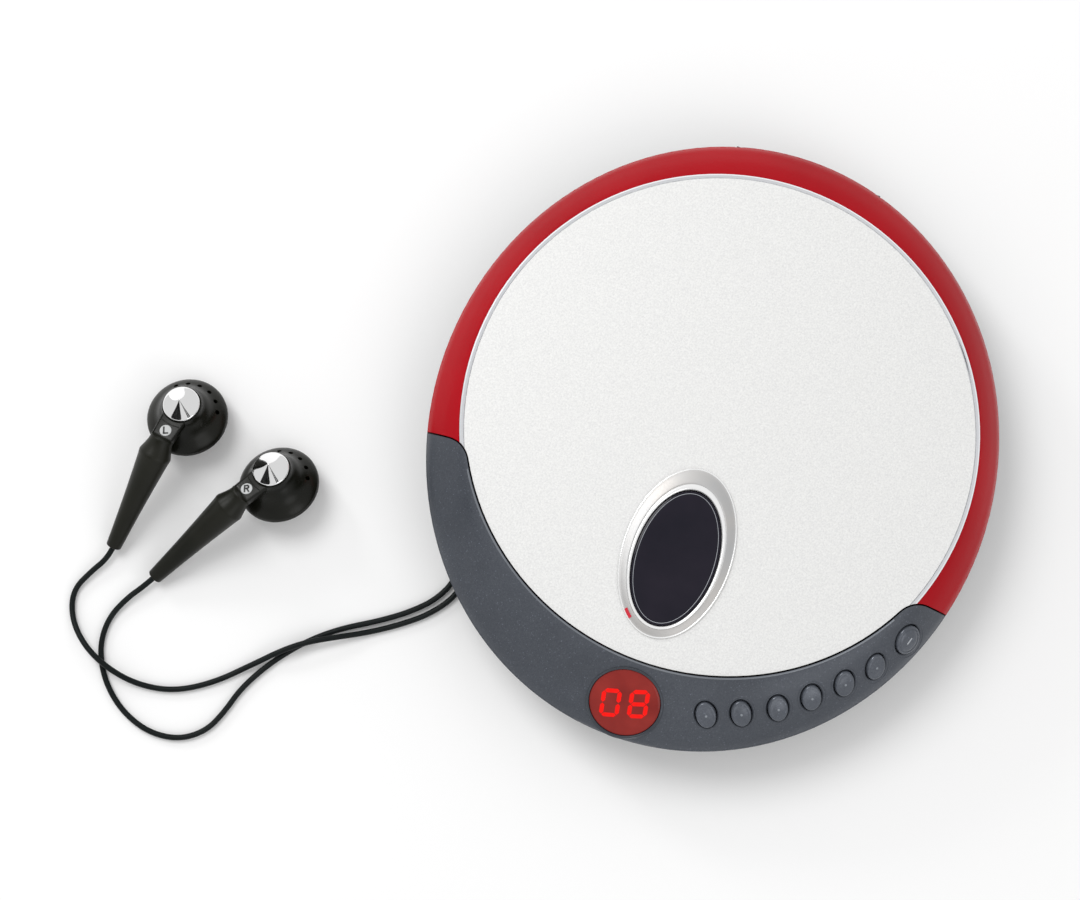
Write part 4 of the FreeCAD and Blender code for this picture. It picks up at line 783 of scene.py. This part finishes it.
prof = [(8.45, -1.3), (8.55, -0.6), (8.55, lens_z(8.5) - 0.22), (8.48, lens_z(8.5) - 0.06), (8.3, lens_z(8.3) - 0.01)] + [(r, lens_z(r)) for r in (7.8, 6.8, 5.6, 4.2, 2.8, 1.4, 0.3)]
v, f = rings_to_mesh(lathe(prof, DM, 128))
dl = mesh_object("display_window", v, f, M["display_red"], "root", sharp=35)
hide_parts("display_lens")
prof = [(8.62, -0.6), (8.63, 0.06), (8.68, 0.2), (8.78, 0.27), (8.9, 0.25), (9.0, 0.22), (9.12, 0.27), (9.22, 0.36), (9.3, 0.4), (9.33, 0.34), (9.2, 0.1), (8.9, -0.1), (8.75, -0.6)]
rr = lathe(prof, DM, 128)
v, f = rings_to_mesh(rr, False, False)
k = (len(rr) - 1) * 128
for j in range(128):
    f.append((k + j, k + (j + 1) % 128, (j + 1) % 128, j))
ring = mesh_object("display_surround", v, f, DARK, "root", sharp=45)


def segment(x0, y0, x1, y1, wd):
    """Outline of one display segment with pointed ends."""
    d = Vector((x1 - x0, y1 - y0)).normalized()
    s = Vector((-d.y, d.x))
    a, b = Vector((x0, y0)), Vector((x1, y1))
    h = wd / 2
    return [a - d * 0.0, a + d * h + s * h, b - d * h + s * h, b, b - d * h - s * h, a + d * h - s * h]


def digit(cx, segs):
    W_, H_ = 3.75, 6.3
    lean = 0.13
    x0, x1, y0, y1 = -W_ / 2, W_ / 2, -H_ / 2, H_ / 2
    S_ = {"a": (x0, y1, x1, y1), "b": (x1, 0, x1, y1), "c": (x1, y0, x1, 0), "d": (x0, y0, x1, y0), "e": (x0, y0, x0, 0), "f": (x0, 0, x0, y1), "g": (x0, 0, x1, 0)}
    vv, ff = [], []
    for s in segs:
        g = S_[s]
        gap = 0.10
        d = Vector((g[2] - g[0], g[3] - g[1])).normalized() * gap
        out = segment(g[0] + d.x, g[1] + d.y, g[2] - d.x, g[3] - d.y, 1.05)
        k = len(vv)
        m_ = len(out)
        for zz in (-0.12, 0.035):
            for p in out:
                x, y = p.x + cx + lean * p.y, p.y
                q = DM @ Vector((x, y, lens_z(hypot(x, y)) + zz))
                vv.append(tuple(q))
        ff.append(tuple(k + i for i in range(m_)))
        ff.append(tuple(k + m_ + i for i in range(m_)))
        for i in range(m_):
            ff.append((k + i, k + (i + 1) % m_, k + m_ + (i + 1) % m_, k + m_ + i))
    return vv, ff


for nm, cx, segs in (("readout_digit_tens", -3.35, "abcdef"), ("readout_digit_units", 3.35, "abcdefg")):
    v, f = digit(cx, segs)
    o = mesh_object(nm, v, f, DIGIT, "root", smooth=False)

# ------------------------------------------------------------------ keys
KEYS = {
    "skip_back_button": ((19.2, -62.4, 23.403), (0.13945, -0.43423, 0.88994)),
    "play_button": ((27.0, -59.3, 23.409), (0.20231, -0.42683, 0.88141)),
    "skip_forward_button": ((34.9, -55.2, 23.240), (0.2756, -0.41819, 0.86554)),
    "stop_button": ((41.6, -50.1, 23.259), (0.34445, -0.39999, 0.84933)),
    "program_button": ((48.0, -44.3, 23.025), (0.42433, -0.3773, 0.82316)),
    "mode_button": ((53.8, -38.0, 22.494), (0.51356, -0.34673, 0.78488)),
    "open_button": ((59.0, -29.3, 22.333), (0.60205, -0.28807, 0.74468)),
}


def oval3(mtx, a, b, zf, n=72):
    out = []
    for j in range(n):
        x, y = a * cos(2 * pi * j / n), b * sin(2 * pi * j / n)
        out.append(mtx @ Vector((x, y, zf(hypot(x, y)) if callable(zf) else zf)))
    return out


def key_matrix(p, nn, turn=30.0):
    nn = Vector(nn).normalized()
    d = Vector((sin(radians(turn)), -cos(radians(turn)), 0))
    yv = (d - nn * d.dot(nn)).normalized()
    xv = yv.cross(nn)
    return basis(xv, yv, nn, Vector(p))


for key, (p, nn) in KEYS.items():
    big = key == "open_button"
    a, b = (3.3, 3.75) if big else (2.45, 3.4)
    RS, CZ_ = (24.0, -23.3) if big else (14.0, -13.25)
    km = key_matrix(p, nn)
    crown = lambda r: CZ_ + sqrt(RS * RS - r * r)
    edge = crown(b) - 0.02
    rows = [oval3(km, a - 0.3, b - 0.3, -1.35), oval3(km, a, b, -1.3), oval3(km, a, b, edge - 0.42), oval3(km, a - 0.03, b - 0.03, edge - 0.24), oval3(km, a - 0.11, b - 0.11, edge - 0.10),
            oval3(km, a - 0.24, b - 0.24, lambda r: crown(r) - 0.045), oval3(km, a - 0.42, b - 0.42, lambda r: crown(r) - 0.015)]
    if big:
        rows += [oval3(km, a - 0.62, b - 0.62, lambda r: crown(r) - 0.01), oval3(km, a - 0.72, b - 0.72, lambda r: crown(r) - 0.12), oval3(km, a - 0.86, b - 0.86, lambda r: crown(r) - 0.12),
                 oval3(km, a - 0.96, b - 0.96, lambda r: crown(r) - 0.01)]
    else:
        # a slightly hollowed top, as a finger rest
        rows += [oval3(km, a - 0.62, b - 0.62, lambda r: crown(r) - 0.03), oval3(km, a - 0.85, b - 0.85, lambda r: crown(r) - 0.09)]
    top = (a - 0.96, b - 0.96) if big else (a - 0.85, b - 0.85)
    for s in (0.8, 0.6, 0.4, 0.2, 0.04):
        dz = 0.0 if big else -0.09
        rows.append(oval3(km, top[0] * s, top[1] * s, lambda r: crown(r) + dz))
    v, f = rings_to_mesh(rows)
    o = mesh_object("cap_" + key, v, f, M["slate_key"], key, sharp=50)
    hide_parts(key)
    # the guide post under the cap
    post = mesh_object("post_" + key, *rings_to_mesh(lathe([(0.95, -3.15), (1.0, -3.1), (1.0, -1.4), (1.25, -1.2)], km, 32)), M["slate_key"], key, sharp=40)
    # rounded rim of the well round the key
    rim_pts = [oval3(km, a + 1.06, b + 1.06, 0.0, 96)]
    q = []
    for p3 in rim_pts[0]:
        q.append((p3.x, p3.y, float(dome(p3.x, p3.y)) - 0.16))
    v, f = tube_mesh(q, 0.2, 10, closed=True)
    rim = mesh_object("well_rim_" + key.replace("_button", ""), v, f, M["slate_panel"], "root")
    if big:
        mk = []
        for zz in (0.0, 0.09):
            for x, y in ((-0.16, -0.95), (0.16, -0.95), (0.2, -0.5), (0.16, 0.95), (-0.16, 0.95), (-0.2, 0.5)):
                ca, sa = cos(radians(-36)), sin(radians(-36))
                xx, yy = x * ca - y * sa, x * sa + y * ca
                mk.append(tuple(km @ Vector((xx, yy, crown(hypot(xx, yy)) + zz - 0.02))))
        ff = [tuple(range(6)), tuple(range(6, 12))] + [(i, (i + 1) % 6, 6 + (i + 1) % 6, 6 + i) for i in range(6)]
        o = mesh_object("open_mark", mk, ff, PALE_MARK_AND_REFLECTION, key, smooth=False)
    else:
        # small raised dot in the middle of the key
        v, f = rings_to_mesh(lathe([(0.30, crown(0) - 0.16), (0.30, crown(0) - 0.06), (0.24, crown(0) - 0.01), (0.1, crown(0) + 0.01)], km, 24))
        o = mesh_object("dot_" + key, v, f, DOT, key, sharp=60)

# ------------------------------------------------------------------ earbuds
BUDS = {
    "left": dict(base=(-123.4, -36.1, 1.364), up=(-0.1576, 0.2189, 0.963), arm=(-0.1597, -0.9872, 0.0), knee=(-126.813, -42.965, 13.789), end=(-130.5, -71.1, 2.3)),
    "right": dict(base=(-96.0, -44.5, 2.2225), up=(-0.2684, 0.2768, 0.9227), arm=(-0.5196, -0.8544, 0.0), knee=(-104.071, -49.523, 13.304), end=(-118.4, -74.8, 2.3)),
}
for side, b in BUDS.items():
    up = Vector(b["up"]).normalized()
    ax = Vector((0, 0, 1)).cross(up).normalized()
    rot = Matrix.Rotation(Vector((0, 0, 1)).angle(up), 4, ax)
    bm_ = Matrix.Translation(Vector(b["base"])) @ rot
    al = Vector(b["arm"]).normalized()
    sl = Vector((-al.y, al.x, 0))
    ang0 = atan2(al.y, al.x)
    prof = [(7.0, 1.62), (7.02, 0.95), (7.2, 0.64), (7.9, 0.78), (8.55, 1.15), (8.95, 1.6), (9.2, 2.3), (9.42, 2.75), (9.75, 3.02), (9.97, 3.3), (10.0, 3.5), (10.0, 3.85),
            (9.93, 3.95), (9.93, 4.05), (10.0, 4.15), (9.98, 4.4), (9.8, 4.75), (9.35, 5.3), (8.75, 5.95), (8.05, 6.5), (7.4, 7.1), (6.85, 7.8), (6.45, 8.5), (6.05, 9.25), (5.55, 10.0), (5.1, 10.6), (4.95, 11.2),
            (4.85, 11.7), (4.8, 12.05), (4.62, 12.18), (4.5, 12.1)]
    v, f = rings_to_mesh(lathe(prof, bm_, 144))
    shell = mesh_object("bud_shell_" + side, v, f, M["bud_black"], None, sharp=38)
    # vent holes
    cutters = []
    bmv = bmesh.new()
    for i in range(6):
        a = radians(20 + 22 * i)
        c = bm_ @ Vector((7.3 * cos(a), 7.3 * sin(a), 5.6))
        d = (bm_.to_3x3() @ Vector((0.5 * cos(a), 0.5 * sin(a), 1.0))).normalized()
        q = d.to_track_quat("Z", "Y").to_matrix().to_4x4()
        bmesh.ops.create_cone(bmv, cap_ends=True, segments=20, radius1=0.5 * MM, radius2=0.62 * MM, depth=3.6 * MM, matrix=Matrix.Translation(c * MM) @ q)
    mc = bpy.data.meshes.new("vent_cut")
    bmv.to_mesh(mc)
    bmv.free()
    cut = link(bpy.data.objects.new("vent_cut", mc))
    mod = shell.modifiers.new("vents", "BOOLEAN")
    mod.operation = "DIFFERENCE"
    mod.solver = "EXACT"
    mod.object = cut
    bpy.context.view_layer.update()
    dg = bpy.context.evaluated_depsgraph_get()
    done = bpy.data.meshes.new_from_object(shell.evaluated_get(dg))
    shell.modifiers.clear()
    old = shell.data
    shell.data = done
    done.name = "bud_shell_" + side
    done.materials.clear()
    done.materials.append(M["bud_black"])
    done.shade_smooth()
    done.set_sharp_from_angle(angle=radians(38))
    bpy.data.objects.remove(cut)
    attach(shell, "root")
    # flat arm with raised edges: a rounded slab, then two rails
    armv, armf = [], []
    secs = [(3.4, 3.15, 10.35, 12.02), (4.4, 3.2, 10.2, 12.05), (6.5, 3.05, 10.0, 12.02), (8.6, 2.95, 9.95, 12.0), (9.35, 2.9, 10.0, 11.98), (9.58, 2.75, 10.15, 11.85)]
    for d, h, z0, z1 in secs:
        r = 0.35
        ring2 = []
        for cx_, cz_, a_ in ((h - r, z1 - r, 0), (-(h - r), z1 - r, 90), (-(h - r), z0 + r, 180), (h - r, z0 + r, 270)):
            for q in range(5):
                t = radians(a_ + 22.5 * q)
                ring2.append((cx_ + r * cos(t), cz_ + r * sin(t)))
        armv += [tuple(bm_ @ (al * d + sl * y + Vector((0, 0, z)))) for y, z in ring2]
    m_ = 20
    for i in range(len(secs) - 1):
        for j in range(m_):
            armf.append((i * m_ + j, i * m_ + (j + 1) % m_, (i + 1) * m_ + (j + 1) % m_, (i + 1) * m_ + j))
    armf += [tuple(range(m_)), tuple(range((len(secs) - 1) * m_, len(secs) * m_))]
    arm = mesh_object("bud_arm_" + side, armv, armf, M["bud_black"], "root", sharp=45)
    rails_v, rails_f = [], []
    for sgn in (-1, 1):
        pp = [bm_ @ (al * d + sl * (sgn * h) + Vector((0, 0, 12.02))) for d, h in ((4.2, 2.86), (5.5, 2.78), (7.0, 2.66), (8.4, 2.58), (9.2, 2.55))]
        v, f = tube_mesh(pp, 0.2, 8, ups=[tuple(up)] * 5)
        kk = len(rails_v)
        rails_v += v
        rails_f += [tuple(kk + i for i in q) for q in f]
    cross = [bm_ @ (al * 5.2 + sl * yy + Vector((0, 0, 12.0))) for yy in (-2.6, -1.3, 0, 1.3, 2.6)]
    cross = [bm_ @ (al * (5.35 + 0.35 * cos(pi * yy / 5.2)) + sl * yy + Vector((0, 0, 12.0))) for yy in (-2.6, -1.3, 0, 1.3, 2.6)]
    v, f = tube_mesh(cross, 0.14, 8, ups=[tuple(up)] * 5)
    kk = len(rails_v)
    rails_v += v
    rails_f += [tuple(kk + i for i in q) for q in f]
    rails = mesh_object("bud_arm_rails_" + side, rails_v, rails_f, M["bud_black"], "root", sharp=60)
    # side mark: a pale disc with a letter for the ear
    lc = bm_ @ (al * 7.55 + Vector((0, 0, 12.0)))
    # the letter stands upright for someone looking from the front
    lx = Vector((0.9428, 0.3330, 0.0))
    lx = (lx - up * lx.dot(up)).normalized()
    ly = up.cross(lx)
    lm = basis(lx, ly, up, lc)
    v, f = rings_to_mesh(lathe([(1.42, -0.3), (1.45, 0.02), (1.38, 0.09), (1.2, 0.11), (0.5, 0.115)], lm, 64))
    disc = mesh_object("side_disc_" + side, v, f, LABEL, "root", sharp=50)
    strokes = {"left": [((-0.42, 0.82), (-0.42, -0.72)), ((-0.42, -0.72), (0.52, -0.72))],
               "right": [((-0.45, 0.8), (-0.45, -0.8)), ((-0.45, 0.8), (0.25, 0.8)), ((0.25, 0.8), (0.5, 0.6)), ((0.5, 0.6), (0.5, 0.25)), ((0.5, 0.25), (0.25, 0.05)), ((0.25, 0.05), (-0.45, 0.05)), ((0.05, 0.05), (0.55, -0.8))]}[side]
    lv, lf = [], []
    for (x0, y0), (x1, y1) in strokes:
        d = Vector((x1 - x0, y1 - y0))
        d.normalize()
        s = Vector((-d.y, d.x)) * 0.2
        e = d * 0.17
        quad = [Vector((x0, y0)) - e + s, Vector((x0, y0)) - e - s, Vector((x1, y1)) + e - s, Vector((x1, y1)) + e + s]
        kk = len(lv)
        for zz in (0.08, 0.15):
            lv += [tuple(lm @ Vector((q.x, q.y, zz))) for q in quad]
        lf += [tuple(kk + i for i in q) for q in ((0, 1, 2, 3), (4, 5, 6, 7), (0, 1, 5, 4), (1, 2, 6, 5), (2, 3, 7, 6), (3, 0, 4, 7))]
    letter = mesh_object("side_letter_" + side, lv, lf, INK, "root", smooth=False)
    # polished conical cap
    prof = [(4.2, 12.1), (4.44, 12.16), (4.5, 12.3), (4.5, 12.72), (4.44, 12.84), (4.28, 12.94)]
    for i in range(1, 15):
        t = i / 14
        prof.append((4.28 * (1 - t) + 0.05 * t, 12.94 + 2.44 * t - 0.10 * sin(pi * t)))
    v, f = rings_to_mesh(lathe(prof, bm_, 144))
    cap = mesh_object("bud_cap_" + side, v, f, M["cap_chrome"], "root", sharp=60)
    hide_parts("earbud_cap_" + side)
    # stem: a boot widest just below the seam, tapering to the cord
    knee, end = Vector(b["knee"]), Vector(b["end"])
    sd = (end - knee)
    L = sd.length
    sd.normalize()
    sx = sd.cross(Vector((0, 0, 1))).normalized()
    sy = sd.cross(sx)
    sm = basis(sx, sy, sd, knee)
    prof = [(2.6, -0.6), (2.86, -0.55), (2.95, -0.35), (2.92, 0.1), (2.98, 0.5), (3.1, 1.2), (3.42, 2.3), (3.8, 3.4), (4.02, 4.0), (4.08, 4.35), (4.02, 4.8), (3.9, 5.6)]
    for i in range(1, 13):
        t = i / 12
        prof.append((3.9 + (1.9 - 3.9) * t - 0.12 * sin(pi * t), 5.6 + (L - 5.6 - 0.3) * t))
    prof += [(1.84, L - 0.12), (1.7, L), (1.0, L + 0.02), (0.8, L - 0.1)]
    v, f = rings_to_mesh(lathe(prof, sm, 72))
    stem = mesh_object("bud_stem_" + side, v, f, M["bud_rubber"], "root", sharp=40)
    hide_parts("earbud_shell_" + side)
    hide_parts("earbud_stem_" + side)
    # perforated front under the bud
    prof = [(6.6, 1.55), (6.85, 1.4), (6.9, 1.1), (6.8, 0.85), (6.0, 0.78), (4.5, 0.76), (2.5, 0.755), (0.5, 0.75)]
    v, f = rings_to_mesh(lathe(prof, bm_, 96))
    grille = mesh_object("bud_grille_" + side, v, f, M["grille_black"], "root", sharp=50)
    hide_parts("earbud_front_" + side)

# ------------------------------------------------------------------ cord lengths
print("CORD LENGTHS", round(spline_length(LEFT), 4), round(spline_length(RIGHT), 4), round(spline_length(LEAD), 4))

# ------------------------------------------------------------------ floor and light
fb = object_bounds()
fm = Mat("floor_pale")
fm.put(Roughness=0.9, Specular_IOR_Level=0.05)
fm.colour(fm.ramp(fm.noise(4, 2), [(0.3, (0.90, 0.90, 0.90)), (0.7, (0.92, 0.92, 0.92))]))
me = bpy.data.meshes.new("studio_floor")
s = 3.0
me.from_pydata([(-s, -s, -0.0002), (s, -s, -0.0002), (s, s, -0.0002), (-s, s, -0.0002)], [], [(0, 1, 2, 3)])
floor = link(bpy.data.objects.new("studio_floor", me))
me.materials.append(fm.m)

world = bpy.data.worlds.new("studio")
scene.world = world
world.use_nodes = True
bg = world.node_tree.nodes["Background"]
bg.inputs["Color"].default_value = (1.0, 1.0, 1.0, 1)
bg.inputs["Strength"].default_value = 0.72


def area(name, loc, target, size, power, colour=(1, 1, 1)):
    d = bpy.data.lights.new(name, "AREA")
    d.shape = "DISK"
    d.size = size
    d.energy = power
    d.color = colour
    o = link(bpy.data.objects.new(name, d))
    o.location = loc
    o.rotation_euler = (Vector(target) - Vector(loc)).to_track_quat("-Z", "Y").to_euler()
    return o


area("key_light", (-0.55, 0.25, 0.9), (-0.02, 0, 0), 0.55, 4.2)
area("fill_light", (0.7, -0.5, 0.8), (0, 0, 0), 0.7, 1.5)
area("rim_light", (-0.95, 0.45, 0.5), (0, -0.02, 0.02), 0.22, 1.6)



# ------------------------------------------------------------------ dark cards, which only polished surfaces see
def card(name, centre, toward, half_w, half_h, across):
    z = (Vector(toward) - Vector(centre)).normalized()
    x = (Vector(across) - z * Vector(across).dot(z)).normalized()
    y = z.cross(x)
    c = Vector(centre)
    me = bpy.data.meshes.new(name)
    me.from_pydata([tuple(c + x * (sx_ * half_w) + y * (sy_ * half_h)) for sx_, sy_ in ((-1, -1), (1, -1), (1, 1), (-1, 1))], [], [(0, 1, 2, 3)])
    o = link(bpy.data.objects.new(name, me))
    me.materials.append(HOLE)
    o.visible_camera = False
    o.visible_diffuse = False
    o.visible_transmission = False
    o.visible_volume_scatter = False
    o.visible_shadow = False
    return o


for side, angles in (("left", ((-104.0, 13.0), (-64.0, 2.0))), ("right", ((-113.0, 12.0), (-70.0, 2.0)))):
    up = Vector(BUDS[side]["up"]).normalized()
    apex = (Vector(BUDS[side]["base"]) + up * 14.0) * MM
    for k_, (deg, half) in enumerate(angles):
        rad = CX * cos(radians(deg)) + CY * sin(radians(deg))
        rad = (rad - up * rad.dot(up)).normalized()
        nn = (up * cos(radians(30)) + rad * sin(radians(30))).normalized()
        refl = nn * (2 * nn.dot(CZ)) - CZ
        card("card_%s_%d" % (side, k_), apex + refl * 0.12, apex, 0.12 * math.tan(radians(half * 0.87)), 0.035, up.cross(rad))

scene.view_settings.view_transform = "Standard"
